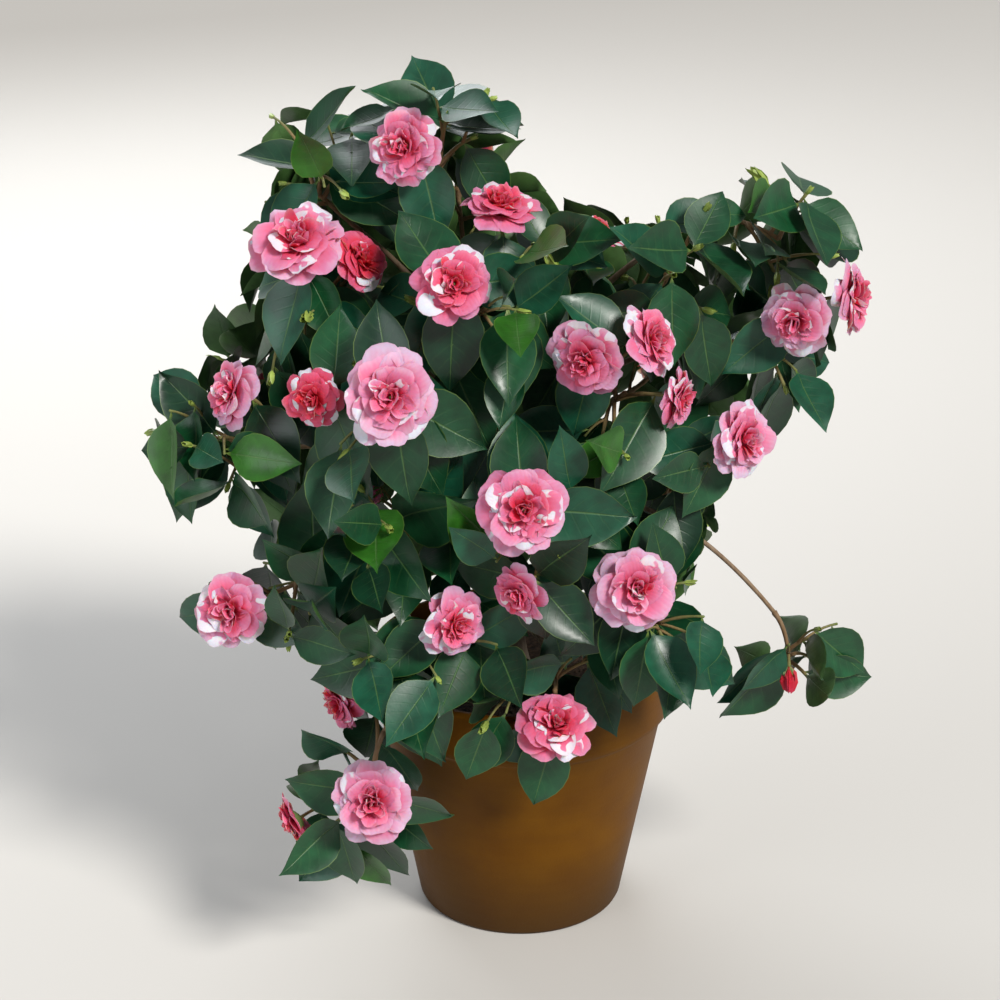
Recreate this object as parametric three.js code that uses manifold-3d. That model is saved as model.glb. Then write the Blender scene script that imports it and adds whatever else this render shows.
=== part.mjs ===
// A camellia shrub in bloom, standing in its pot.
// Sizes are in millimetres, +Z is up, and the origin is the middle of the pot's flat underside.
// The photograph looks along +Y from the front, so the front of the shrub is its -Y side.
import * as THREE from "three";
import { mergeVertices } from "three/addons/utils/BufferGeometryUtils.js";
import Module from "manifold-3d";

const wasm = await Module();
wasm.setup();

// The pot: a tapered clay pot with a deep rim band, filled with compost.
const POT_HEIGHT = 265;
const POT_FOOT_RADIUS = 102;
const POT_RIM_RADIUS = 150;
const POT_BAND_HEIGHT = 54;
const POT_BAND_STEP = 8;
const POT_WALL = 10;
const POT_FLOOR = 14;
const POT_SIDES = 36;
const COMPOST_DEPTH_BELOW_RIM = 22;
const COMPOST_MOUND = 6;

// Two pieces that touch on the real plant are this far apart.
const CLEAR = 0.3;

// The trunk stands on the compost and leans a little to the left as it rises.
const TRUNK_FOOT = [-4, 4, POT_HEIGHT - COMPOST_DEPTH_BELOW_RIM];
const TRUNK_LOW_BEND = [-4, 4, 380];
const TRUNK_HIGH_BEND = [-28, 10, 540];
const TRUNK_TIP = [-72, -6, 700];
const TRUNK_FOOT_RADIUS = 9;
const TRUNK_TIP_RADIUS = 3.4;
const ROOT_FLARE = 7;
const ROOT_FLARE_HEIGHT = 14;
const TRUNK_STEPS = 12;
const TRUNK_SIDES = 8;

// Each bough leaves its parent where the parent has climbed that share of its length, and ends at a point.
// The lift is how far the middle of the bough stands above a straight line.
const BOUGHS = [
  { name: "bough_top_left", parent: "trunk", share: 0.72, end: [-148, 4, 690], lift: 8, radius: 3.4 },
  { name: "bough_left_upper", parent: "trunk", share: 0.54, end: [-146, -32, 600], lift: 14, radius: 4.2 },
  { name: "bough_arch", parent: "trunk", share: 0.6, end: [160, 18, 694], lift: 22, radius: 4.2 },
  { name: "bough_right_top", parent: "trunk", share: 0.65, end: [84, -34, 622], lift: 6, radius: 3.6 },
  { name: "bough_right_cluster", parent: "trunk", share: 0.5, end: [178, -22, 592], lift: 30, radius: 4.2 },
  { name: "bough_right_mid", parent: "trunk", share: 0.43, end: [56, -60, 530], lift: 6, radius: 4 },
  { name: "bough_centre", parent: "trunk", share: 0.48, end: [-94, -96, 552], lift: 6, radius: 4 },
  { name: "bough_centre_left", parent: "trunk", share: 0.385, end: [-78, -84, 432], lift: 10, radius: 4 },
  { name: "bough_far_left", parent: "trunk", share: 0.335, end: [-208, -34, 492], lift: 26, radius: 4.8 },
  { name: "bough_right", parent: "trunk", share: 0.3, end: [106, -60, 452], lift: 14, radius: 4.6 },
  { name: "bough_right_tip", parent: "bough_right", share: 0.8, end: [240, -62, 334], lift: 22, radius: 2.3 },
  { name: "bough_centre_low", parent: "trunk", share: 0.26, end: [8, -110, 426], lift: 10, radius: 4 },
  { name: "bough_left_low", parent: "trunk", share: 0.21, end: [-154, -78, 382], lift: 22, radius: 4.8 },
  { name: "bough_right_front", parent: "trunk", share: 0.16, end: [70, -84, 352], lift: 16, radius: 4.2 },
  { name: "bough_low_centre", parent: "trunk", share: 0.17, end: [-58, -98, 336], lift: 14, radius: 4 },
  { name: "bough_hanging", parent: "trunk", share: 0.12, end: [-128, -160, 258], lift: 42, radius: 4 },
  { name: "bough_bottom", parent: "trunk", share: 0.1, end: [24, -76, 300], lift: 10, radius: 3.8 },
  { name: "bough_back_left_top", parent: "trunk", share: 0.57, end: [-150, 75, 602], lift: 16, radius: 4 },
  { name: "bough_back", parent: "trunk", share: 0.46, end: [-50, 126, 530], lift: 14, radius: 4.2 },
  { name: "bough_back_right", parent: "trunk", share: 0.41, end: [90, 95, 490], lift: 18, radius: 4.2 },
  { name: "bough_back_left", parent: "trunk", share: 0.31, end: [-178, 80, 466], lift: 20, radius: 4.4 },
  { name: "bough_back_low", parent: "trunk", share: 0.27, end: [-8, 136, 382], lift: 16, radius: 4 },
  { name: "bough_back_left_low", parent: "trunk", share: 0.22, end: [-104, 95, 352], lift: 18, radius: 4.2 },
  { name: "bough_back_right_low", parent: "trunk", share: 0.18, end: [90, 76, 356], lift: 18, radius: 4.2 },
];
const BOUGH_TIP_RADIUS = 2.1;
const BOUGH_STEPS = 5;
const BOUGH_SIDES = 5;

// Each mass of foliage has a heart, a reach in which its leaves stay, and the limb that its stem grows on from.
// A share says where on that limb it does so; without one it is the limb's tip. Some may bear more leaves than
// the rest, or take another start for their chances.
const MASSES = [
  { name: "leaves_top_left", on: "bough_top_left", heart: [-190, 2, 730], reach: 110, seed: 2 },
  { name: "leaves_top", on: "trunk", heart: [-74, -14, 772], reach: 114, most: 17, seed: 8 },
  { name: "leaves_upper_right", on: "trunk", share: 0.68, heart: [22, -44, 690], reach: 132 },
  { name: "leaves_left_upper", on: "bough_left_upper", heart: [-192, -54, 650], reach: 128 },
  { name: "leaves_centre_upper", on: "trunk", share: 0.64, heart: [-55, -106, 650], reach: 140 },
  { name: "leaves_centre", on: "bough_centre", heart: [-126, -142, 572], reach: 130 },
  { name: "leaves_arch", on: "bough_arch", heart: [236, 2, 684], reach: 118, most: 14, seed: 4 },
  { name: "leaves_right_top", on: "bough_right_top", heart: [128, -54, 660], reach: 130 },
  { name: "leaves_right_cluster", on: "bough_right_cluster", heart: [238, -34, 596], reach: 124 },
  { name: "leaves_right_mid", on: "bough_right_mid", heart: [92, -108, 574], reach: 136, most: 14 },
  { name: "leaves_far_left", on: "bough_far_left", heart: [-266, -46, 500], reach: 126, most: 14 },
  { name: "leaves_centre_left", on: "bough_centre_left", heart: [-112, -132, 456], reach: 136, most: 15 },
  { name: "leaves_right", on: "bough_right", heart: [164, -86, 484], reach: 130, most: 16 },
  { name: "leaves_right_tip", on: "bough_right_tip", heart: [256, -62, 282], reach: 94, most: 8, seed: 10 },
  { name: "leaves_left_low", on: "bough_left_low", heart: [-214, -112, 394], reach: 130, most: 15, seed: 1 },
  { name: "leaves_centre_low", on: "bough_centre_low", heart: [8, -166, 466], reach: 130 },
  { name: "leaves_right_front", on: "bough_right_front", heart: [110, -142, 380], reach: 136, most: 15 },
  { name: "leaves_low_centre", on: "bough_low_centre", heart: [-82, -154, 362], reach: 136, most: 17 },
  { name: "leaves_bottom", on: "bough_bottom", heart: [30, -156, 298], reach: 130, most: 15, seed: 2 },
  { name: "leaves_hanging", on: "bough_hanging", heart: [-142, -182, 184], reach: 140, most: 19, seed: 5 },
  { name: "leaves_back_top", on: "trunk", share: 0.8, heart: [-62, 92, 716], reach: 126 },
  { name: "leaves_back_left_top", on: "bough_back_left_top", heart: [-204, 106, 640], reach: 130 },
  { name: "leaves_back_right_top", on: "trunk", share: 0.62, heart: [84, 104, 636], reach: 130 },
  { name: "leaves_back_left", on: "bough_back_left", heart: [-236, 110, 476], reach: 132 },
  { name: "leaves_back", on: "bough_back", heart: [-56, 182, 556], reach: 134 },
  { name: "leaves_back_right", on: "bough_back_right", heart: [140, 144, 508], reach: 132 },
  { name: "leaves_back_left_low", on: "bough_back_left_low", heart: [-152, 136, 352], reach: 130 },
  { name: "leaves_back_low", on: "bough_back_low", heart: [0, 190, 388], reach: 132 },
  { name: "leaves_back_right_low", on: "bough_back_right_low", heart: [142, 116, 370], reach: 128 },
];

// Each bloom has its mass, its middle, the way that it faces and its width. Those of the back are guessed.
const BLOOMS = [
  { mass: "leaves_top", at: [-104, -66, 790], faces: [-0.35, -0.9, 0.25], width: 78 },
  { mass: "leaves_left_upper", at: [-200, -84, 707], faces: [-0.1, -0.55, 0.85], width: 96 },
  { mass: "leaves_left_upper", at: [-146, -58, 682], faces: [0.6, -0.5, 0.5], width: 66 },
  { mass: "leaves_upper_right", at: [-19, -64, 734], faces: [0.1, -0.25, 1], width: 76 },
  { mass: "leaves_centre_upper", at: [-60, -152, 691], faces: [0.05, -0.95, 0.35], width: 75 },
  { mass: "leaves_centre", at: [-115, -204, 606], faces: [0, -0.95, 0.35], width: 92 },
  { mass: "leaves_centre", at: [-184, -148, 583], faces: [-0.35, -0.9, 0.1], width: 62 },
  { mass: "leaves_far_left", at: [-262, -104, 572], faces: [-0.8, -0.5, 0.35], width: 74 },
  { mass: "leaves_upper_right", at: [64, -2, 690], faces: [0.2, 0.2, 1], width: 68 },
  { mass: "leaves_right_mid", at: [54, -156, 622], faces: [-0.3, -0.85, -0.1], width: 76 },
  { mass: "leaves_right_mid", at: [112, -140, 634], faces: [0.75, -0.5, 0.4], width: 72 },
  { mass: "leaves_right_mid", at: [138, -132, 578], faces: [0.9, -0.4, -0.05], width: 62 },
  { mass: "leaves_right_cluster", at: [246, -70, 630], faces: [-0.25, -0.85, 0], width: 74 },
  { mass: "leaves_right_cluster", at: [300, -34, 640], faces: [0.95, -0.3, 0.1], width: 78 },
  { mass: "leaves_right", at: [198, -122, 535], faces: [0.6, -0.75, 0.2], width: 76 },
  { mass: "leaves_centre_low", at: [0, -232, 513], faces: [0, -0.93, 0.38], width: 86 },
  { mass: "leaves_centre_low", at: [-4, -212, 424], faces: [-0.65, -0.7, -0.15], width: 62 },
  { mass: "leaves_right_front", at: [100, -204, 425], faces: [0.05, -0.92, 0.35], width: 86 },
  { mass: "leaves_left_low", at: [-266, -150, 377], faces: [-0.2, -0.9, 0.3], width: 78 },
  { mass: "leaves_low_centre", at: [-61, -208, 392], faces: [0.5, -0.8, 0.1], width: 70 },
  { mass: "leaves_hanging", at: [-168, -140, 278], faces: [-0.85, -0.45, -0.2], width: 64 },
  { mass: "leaves_bottom", at: [31, -196, 284], faces: [0.05, -0.6, 0.8], width: 79 },
  { mass: "leaves_hanging", at: [-138, -212, 214], faces: [0, -0.95, 0.3], width: 84 },
  { mass: "leaves_hanging", at: [-212, -168, 168], faces: [-0.8, -0.2, -0.5], width: 60 },
  { mass: "leaves_back_top", at: [-60, 146, 726], faces: [0.1, 0.8, 0.6], width: 78 },
  { mass: "leaves_back_left_top", at: [-204, 170, 614], faces: [-0.5, 0.8, 0.4], width: 82 },
  { mass: "leaves_back_right_top", at: [88, 166, 606], faces: [0.3, 0.85, 0.35], width: 74 },
  { mass: "leaves_back_left", at: [-262, 162, 476], faces: [-0.8, 0.6, 0.2], width: 80 },
  { mass: "leaves_back", at: [-70, 242, 582], faces: [-0.1, 0.95, 0.3], width: 86 },
  { mass: "leaves_back_right", at: [140, 214, 498], faces: [0.5, 0.85, 0.2], width: 80 },
  { mass: "leaves_back_left_low", at: [-188, 192, 366], faces: [-0.5, 0.85, 0], width: 76 },
  { mass: "leaves_back_low", at: [-6, 250, 400], faces: [0.1, 0.95, 0.2], width: 84 },
  { mass: "leaves_back_right_low", at: [150, 170, 372], faces: [0.75, 0.6, 0.1], width: 74 },
];

// A mass's stem and its twigs, and the twig that each bloom sits on.
const STEM_ROOT_RADIUS = 2.6;
const STEM_TIP_RADIUS = 2.4;
const STEM_STEPS = 2;
const STEM_SIDES = 3;
const STEM_LIFT = 6;
const STEM_BEND_SHARE = 0.4;
const TWIG_ROOT_RADIUS = 2.4;
const TWIG_TIP_RADIUS = 2.1;
const TWIG_STEPS = 1;
const TWIG_SIDES = 3;
const TWIGS_PER_MASS = 6;
const TWIG_SHARE_OF_REACH = 0.36;
const TWIG_LIFT = 3;
const TWIG_WIDEST_LEAN = 1.5;
const BLOOM_TWIG_FROM = 0.8;
const BLOOM_TWIG_SUNK = 4;
const BLOOM_NECK_SHARE = 0.3;

// Leaves: how they sit along a twig, their size, and how far they droop, roll and arch.
const LEAF_SPACING = 19;
const TIP_SPACING = 3;
const LEAVES_AT_TIP = 5;
const FEWEST_LEAVES = 2;
const MOST_LEAVES = 6;
const MOST_LEAVES_IN_MASS = 13;
const LEAF_SHORTEST = 86;
const LEAF_LONGEST = 110;
const LEAF_WIDTH_SHARE = 0.58;
const LEAF_SPREAD = 1.15;
const LEAF_SPREAD_AT_BLOOM = 1.55;
const LEAST_DROOP = 0.3;
const MORE_DROOP = 0.45;
const DROOP_ENDS_AT = 1.3;
const LEAF_ROLL = 0.7;
const LEAST_BEND = 0.08;
const MORE_BEND = 0.1;
const LIGHT_FROM_ABOVE = 0.4;
const LIGHT_FROM_FRONT = 0.7;
const FULL_TURN = 2 * Math.PI;
const GOLDEN_ANGLE = Math.PI * (3 - Math.sqrt(5));
const SEED = 20261;

// Leaves may lace this far into the next mass's space where they meet nothing, and none hangs lower than this.
const LACING = 30;
const LOWEST_LEAF = 84;

// Room that leaves and twigs leave around wood, other leaves, the pot and the blooms.
const LEAF_ROOM = 3;
const WOOD_ROOM = 2.5;
const TWIG_ROOM = 3;
const TWIG_GAP_AT_WALL = 8;
const POT_ROOM = 3;
const BLOOM_ROOM = 1.05;
const BLOOM_VIEW_LENGTH = 160;
const BLOOM_VIEW_SHARE = 0.8;

const UP = new THREE.Vector3(0, 0, 1);
const CROWN_MIDDLE = new THREE.Vector3(-30, 0, 470);
const CROWN_FLATNESS = new THREE.Vector3(0.8, 1.6, 0.7);
const FRONT = new THREE.Vector3(0, -1, 0);
const FRONT_HALF = 30;
const FRONT_SIGHT = new THREE.Vector3(0, -0.92, 0.39);

const vector = (list) => new THREE.Vector3(...list);
const mixed = (a, b, share) => a.clone().lerp(b, share);

// A stream of even numbers from 0 to 1 that a seed settles.
function seeded(seed) {
  let state = seed % 4294967296;
  const next = () => {
    state = (state * 1664525 + 1013904223) % 4294967296;
    return state / 4294967296;
  };
  next();
  next();
  return next;
}

// Two directions square to a first one.
function squareTo(direction) {
  const helper = Math.abs(direction.z) < 0.9 ? UP : new THREE.Vector3(0, -1, 0);
  const side = direction.clone().cross(helper).normalize();
  return [side, side.clone().cross(direction).normalize()];
}

// Limbs: a limb is a curve with a radius at its root and another at its tip.
const limbs = new Map();

function radiusAt(limb, share) {
  const even = limb.rootRadius + (limb.tipRadius - limb.rootRadius) * share;
  return even + (limb.flare ? ROOT_FLARE * Math.exp(-(share * limb.length) / ROOT_FLARE_HEIGHT) : 0);
}

function arching(start, end, lift) {
  const middle = mixed(start, end, 0.5).addScaledVector(UP, 2 * lift);
  return new THREE.QuadraticBezierCurve3(start, middle, end);
}

limbs.set("trunk", {
  curve: new THREE.CubicBezierCurve3(...[TRUNK_FOOT, TRUNK_LOW_BEND, TRUNK_HIGH_BEND, TRUNK_TIP].map(vector)),
  rootRadius: TRUNK_FOOT_RADIUS,
  tipRadius: TRUNK_TIP_RADIUS,
  length: vector(TRUNK_FOOT).distanceTo(vector(TRUNK_TIP)),
  flare: true,
  steps: TRUNK_STEPS,
  sides: TRUNK_SIDES,
});
for (const { name, parent, share, end, lift, radius } of BOUGHS) {
  limbs.set(name, {
    curve: arching(limbs.get(parent).curve.getPoint(share), vector(end), lift),
    rootRadius: radius,
    tipRadius: BOUGH_TIP_RADIUS,
    steps: BOUGH_STEPS,
    sides: BOUGH_SIDES,
    parent,
  });
}

// A mass's stem goes on in the direction of the bough's tip, or leaves the side of its limb.
function stemOf(mass) {
  const limb = limbs.get(mass.on);
  const share = mass.share ?? 1;
  const from = limb.curve.getPoint(share);
  const heart = vector(mass.heart);
  if (mass.share) return arching(from, heart, STEM_LIFT);
  const ahead = limb.curve.getTangent(1).normalize();
  const start = from.clone().addScaledVector(ahead, CLEAR);
  const bend = start.clone().addScaledVector(ahead, STEM_BEND_SHARE * start.distanceTo(heart));
  return new THREE.QuadraticBezierCurve3(start, bend, heart);
}

const masses = MASSES.map((mass, number) => ({
  ...mass,
  seed: SEED + 977 * number + (mass.seed ?? 0),
  heart: vector(mass.heart),
  stem: stemOf(mass),
  outward: vector(mass.heart).sub(CROWN_MIDDLE).normalize(),
}));
const massNamed = new Map(masses.map((mass) => [mass.name, mass]));

const blooms = BLOOMS.map((bloom) => ({
  mass: massNamed.get(bloom.mass),
  at: vector(bloom.at),
  faces: vector(bloom.faces).normalize(),
  radius: bloom.width / 2,
}));

// A bloom's twig leaves the stem and comes into the bloom from behind.
for (const bloom of blooms) {
  const back = bloom.at.clone().addScaledVector(bloom.faces, -BLOOM_NECK_SHARE * bloom.radius);
  const start = bloom.mass.stem.getPoint(BLOOM_TWIG_FROM);
  const bend = back.clone().addScaledVector(bloom.faces, -0.5 * start.distanceTo(back));
  const tip = bloom.at.clone().addScaledVector(bloom.faces, -BLOOM_TWIG_SUNK);
  bloom.twig = new THREE.QuadraticBezierCurve3(start, bend, tip);
}

// Points along every limb, stem and bloom twig, which leaves and other twigs keep clear of.
const KEEP_CLEAR_STEP = 4;
function pointsAlong(curve, radius, owner) {
  const steps = Math.ceil(curve.getPoint(0).distanceTo(curve.getPoint(1)) / KEEP_CLEAR_STEP) + 4;
  return Array.from({ length: steps + 1 }, (_, i) => ({ at: curve.getPoint(i / steps), radius, owner }));
}
const wood = [
  ...[...limbs].flatMap(([name, limb]) => pointsAlong(limb.curve, limb.rootRadius, name)),
  ...masses.flatMap((mass) => pointsAlong(mass.stem, STEM_ROOT_RADIUS, mass.name)),
  ...blooms.flatMap((bloom) => pointsAlong(bloom.twig, TWIG_ROOT_RADIUS, bloom.mass.name)),
];

// The space of a mass: within its reach, and nearer to its heart than to any other by twice the gap.
function insideSpace(mass, point, gap) {
  const own = point.distanceToSquared(mass.heart);
  if (own > mass.reach ** 2) return false;
  return masses.every((other) => {
    if (other === mass) return true;
    return point.distanceToSquared(other.heart) - own > 2 * gap * other.heart.distanceTo(mass.heart);
  });
}

// Foliage stays off the ground and out of the round of the pot and its compost, with a little room.
function clearOfPot(point) {
  const across = Math.hypot(point.x, point.y);
  const aboveCompost = point.z > TRUNK_FOOT[2] + POT_ROOM && across < POT_RIM_RADIUS - POT_WALL - 2 * POT_ROOM;
  const beside = point.z > POT_HEIGHT + POT_ROOM || across > POT_RIM_RADIUS + POT_ROOM;
  return point.z > LOWEST_LEAF && (aboveCompost || beside);
}

// The outline of the whole crown as it looks from the front, seen from EYE and drawn on the plane through the
// pot's axis: distance to the right and height, in millimetres. Foliage keeps inside it.
const EYE = new THREE.Vector3(-20, -2296, 1398);
const CROWN_OUTLINE = [
  [-160, 828], [-96, 864], [-64, 854], [-48, 828], [-20, 822], [6, 794], [6, 776], [-16, 752],
  [24, 742], [48, 722], [112, 696], [134, 716], [252, 766], [288, 752], [318, 680], [326, 626],
  [292, 554], [300, 494], [278, 486], [254, 520], [236, 444], [192, 434], [190, 382], [168, 354],
  [164, 318], [194, 284], [240, 290], [262, 314], [288, 298], [332, 290], [356, 226], [318, 192],
  [246, 204], [212, 182], [168, 196], [120, 160], [80, 158], [66, 106], [28, 94], [26, 54],
  [-20, 66], [-36, 130], [-66, 94], [-52, 28], [-108, -24], [-180, -34], [-246, 2], [-280, 60],
  [-274, 88], [-232, 130], [-232, 166], [-194, 194], [-214, 220], [-216, 258], [-254, 254], [-292, 238],
  [-358, 242], [-354, 296], [-322, 328], [-272, 360], [-272, 382], [-298, 410], [-324, 384], [-350, 402],
  [-346, 444], [-374, 486], [-374, 534], [-334, 564], [-290, 568], [-308, 626], [-262, 652], [-256, 708],
  [-222, 730], [-234, 754], [-258, 730], [-266, 754], [-242, 810], [-208, 840],
];

function insideOutline(point) {
  const { x, z } = point.clone().sub(EYE).multiplyScalar(-EYE.y / (point.y - EYE.y)).add(EYE);
  return CROWN_OUTLINE.reduce((inside, [toX, toZ], i) => {
    const [fromX, fromZ] = CROWN_OUTLINE.at(i - 1);
    const beside = fromZ > z !== toZ > z && x < fromX + ((toX - fromX) * (z - fromZ)) / (toZ - fromZ);
    return beside ? !inside : inside;
  }, false);
}

// Leaves already placed, which later ones don't cut through.
const placed = new Set();

// A leaf's own directions: along its midrib, across it and out of its face.
function leafPoint(leaf, along, across, out = 0) {
  const droop = leaf.bend * leaf.length * along * along;
  return leaf.root
    .clone()
    .addScaledVector(leaf.ahead, along * leaf.length)
    .addScaledVector(leaf.side, across * leaf.width)
    .addScaledVector(leaf.face, out - droop);
}
const LEAF_OUTLINE = [[0.3, 0.45], [0.68, 0.41], [1, 0], [0.68, -0.41], [0.3, -0.45]];

// Points less than 8 mm apart along a leaf's edge and midrib.
const LEAF_PROBES = [[0.08, 0.12], ...LEAF_OUTLINE, [0.08, -0.12]].flatMap(([along, across], i, corners) => {
  const [nextAlong, nextAcross] = corners[(i + 1) % corners.length];
  return [0, 0.2, 0.4, 0.6, 0.8].map((share) => [
    along + (nextAlong - along) * share,
    across + (nextAcross - across) * share,
  ]);
});
for (let along = 0.14; along < 1; along += 0.06) LEAF_PROBES.push([along, 0]);

// Whether a point lies in the leaf's outline, near its face.
function leafHits(leaf, point, room) {
  const offset = point.clone().sub(leaf.root);
  const along = offset.dot(leaf.ahead) / leaf.length;
  if (along < 0.07 || along > 1 + room / leaf.length) return false;
  const across = Math.abs(offset.dot(leaf.side));
  const half = 0.45 * leaf.width * Math.min(1, 3.4 * along, 3 * Math.max(0, 1 - along));
  if (across > half + room) return false;
  const arch = leaf.bend * leaf.length;
  const out = offset.dot(leaf.face) + arch * along * along;
  return out < room && out > -room - arch * Math.max(0, along - along * along);
}

// The round of petals and the air in front of a bloom, which leaves stay out of. A bloom that shows from the
// front also keeps a line of sight to there.
function coversBloom(bloom, point) {
  const offset = point.clone().sub(bloom.at);
  const ahead = offset.dot(bloom.faces) / bloom.radius;
  const aside = offset.addScaledVector(bloom.faces, -ahead * bloom.radius).length() / bloom.radius;
  if (ahead > -BLOOM_NECK_SHARE && ahead < 1.3 && aside < BLOOM_ROOM) return true;
  if (bloom.faces.dot(FRONT_SIGHT) < 0.35) return false;
  const near = point.clone().sub(bloom.at).dot(FRONT_SIGHT);
  const apart = point.clone().sub(bloom.at).addScaledVector(FRONT_SIGHT, -near).length();
  return near > 0 && near < BLOOM_VIEW_LENGTH && apart < BLOOM_VIEW_SHARE * bloom.radius;
}

function leafFits(mass, leaf) {
  const probes = LEAF_PROBES.map(([along, across]) => leafPoint(leaf, along, across));
  const nearby = 1.15 * leaf.length;
  const open = (point) => insideSpace(mass, point, -LACING) && clearOfPot(point) && insideOutline(point);
  if (!probes.every(open)) return false;
  if (blooms.some((bloom) => probes.some((point) => coversBloom(bloom, point)))) return false;
  const cut = ({ at, radius }) => at.distanceTo(leaf.root) < nearby && leafHits(leaf, at, radius + WOOD_ROOM);
  if (wood.some(cut)) return false;
  const cross = (one, points) => points.some((point) => leafHits(one, point, LEAF_ROOM));
  return ![...placed].some((other) => {
    const near = other.root.distanceTo(leaf.root) < leaf.length + other.length;
    return near && (cross(leaf, other.probes) || cross(other, probes));
  });
}

// One leaf on a twig: it stands off the twig, droops, and turns its face up and outward.
function makeLeaf(root, twigAhead, turn, spread, draws, size) {
  const [side, over] = squareTo(twigAhead);
  const round = side.clone().multiplyScalar(Math.cos(turn)).addScaledVector(over, Math.sin(turn));
  const ahead = round.multiplyScalar(Math.sin(spread)).addScaledVector(twigAhead, Math.cos(spread));
  ahead.addScaledVector(UP, -(LEAST_DROOP + MORE_DROOP * draws.droop) * (DROOP_ENDS_AT - ahead.z)).normalize();
  const frontward = root.y < FRONT_HALF ? LIGHT_FROM_FRONT : -LIGHT_FROM_FRONT;
  const outward = root.clone().sub(CROWN_MIDDLE).multiply(CROWN_FLATNESS).normalize();
  const light = outward.addScaledVector(UP, LIGHT_FROM_ABOVE).addScaledVector(FRONT, frontward);
  const flat = light.addScaledVector(ahead, -light.dot(ahead)).normalize();
  const level = ahead.clone().cross(flat);
  const roll = LEAF_ROLL * (draws.roll - 0.5);
  const face = flat.clone().multiplyScalar(Math.cos(roll)).addScaledVector(level, Math.sin(roll)).normalize();
  const length = size * (LEAF_SHORTEST + (LEAF_LONGEST - LEAF_SHORTEST) * draws.length);
  return {
    root,
    ahead,
    face,
    side: face.clone().cross(ahead).normalize(),
    length,
    width: length * LEAF_WIDTH_SHARE,
    bend: LEAST_BEND + MORE_BEND * draws.bend,
  };
}

// A leaf that doesn't fit is turned about its twig, then made smaller, and then skipped.
const LEAF_TRIES = 18;
const TRY_TURN = 0.8;
const TRY_SHRINK = 0.013;
function placeLeaf(mass, twig, root, twigAhead, turn, spread, next) {
  const draws = { droop: next(), roll: next(), length: next(), bend: next() };
  for (let attempt = 0; attempt < LEAF_TRIES; attempt++) {
    const turned = turn + TRY_TURN * attempt;
    const leaf = makeLeaf(root, twigAhead, turned, spread, draws, 1 - TRY_SHRINK * attempt);
    if (leafFits(mass, leaf)) {
      leaf.probes = LEAF_PROBES.map(([along, across]) => leafPoint(leaf, along, across));
      placed.add(leaf);
      twig.leaves.push(leaf);
      return;
    }
  }
}

// A twig may not leave the space or touch wood that it doesn't grow from.
function twigFits(mass, curve) {
  return [0.35, 0.5, 0.65, 0.8, 0.9, 1].every((share) => {
    const point = curve.getPoint(share);
    const clear = wood.every(({ at, radius, owner }) => {
      const room = owner === mass.name ? 0 : radius + TWIG_ROOT_RADIUS + TWIG_ROOM;
      return at.distanceTo(point) > room;
    });
    const open = blooms.every((bloom) => bloom.at.distanceTo(point) > BLOOM_ROOM * bloom.radius);
    const room = insideSpace(mass, point, TWIG_GAP_AT_WALL) && clearOfPot(point) && insideOutline(point);
    return clear && open && room;
  });
}

// Twigs fan out round the mass's outward direction, each by the golden angle from the last, and a twig that
// doesn't fit is shortened before it is skipped.
function growTwigs(mass) {
  const next = seeded(mass.seed);
  const [side, over] = squareTo(mass.outward);
  for (let i = 0; i < TWIGS_PER_MASS; i++) {
    const lean = Math.acos(1 - (TWIG_WIDEST_LEAN * (i + 0.4)) / TWIGS_PER_MASS);
    const turn = GOLDEN_ANGLE * i + FULL_TURN * next();
    const reach = mass.reach * TWIG_SHARE_OF_REACH * (0.8 + 0.5 * next());
    const start = mass.stem.getPoint(1 - (0.5 * i) / TWIGS_PER_MASS);
    const heading = mass.outward
      .clone()
      .multiplyScalar(Math.cos(lean))
      .addScaledVector(side, Math.sin(lean) * Math.cos(turn))
      .addScaledVector(over, Math.sin(lean) * Math.sin(turn));
    for (const share of [1, 0.85, 0.7, 0.55]) {
      const end = start.clone().addScaledVector(heading, reach * share);
      const curve = arching(start, end, TWIG_LIFT);
      if (!twigFits(mass, curve)) continue;
      mass.twigs.push({ curve, leaves: [] });
      break;
    }
  }
}

// Leaves sit round a twig by the golden angle, close together at its tip and spaced out behind it.
function growLeaves(mass) {
  mass.twigs.forEach((twig, twigNumber) => {
    const { curve, bloom } = twig;
    const next = seeded(mass.seed + 31 * (twigNumber + 1));
    const length = curve.getPoint(0).distanceTo(curve.getPoint(1));
    const room = bloom ? BLOOM_NECK_SHARE * bloom.radius + 7 : 2;
    const behind = Math.max(0, Math.floor((length - room) / LEAF_SPACING) - 1);
    const first = FULL_TURN * next();
    for (let i = 0; i < LEAVES_AT_TIP + behind; i++) {
      const atTip = TIP_SPACING * Math.min(i, LEAVES_AT_TIP);
      const back = room + atTip + LEAF_SPACING * Math.max(0, i - LEAVES_AT_TIP + 0.7);
      const inMass = mass.twigs.reduce((sum, other) => sum + other.leaves.length, 0);
      if (twig.leaves.length >= MOST_LEAVES || inMass >= (mass.most ?? MOST_LEAVES_IN_MASS)) break;
      const share = Math.max(0.2, 1 - back / length);
      const spread = (bloom ? LEAF_SPREAD_AT_BLOOM : LEAF_SPREAD) + 0.2 * (next() - 0.5);
      const turn = first + GOLDEN_ANGLE * i;
      placeLeaf(mass, twig, curve.getPoint(share), curve.getTangent(share), turn, spread, next);
    }
    const bare = !bloom && twig.leaves.length < FEWEST_LEAVES;
    if (bare) twig.leaves.splice(0).forEach((leaf) => placed.delete(leaf));
  });
  mass.twigs = mass.twigs.filter((twig) => twig.bloom || twig.leaves.length);
  mass.leaves = mass.twigs.flatMap((twig) => twig.leaves);
}

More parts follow.
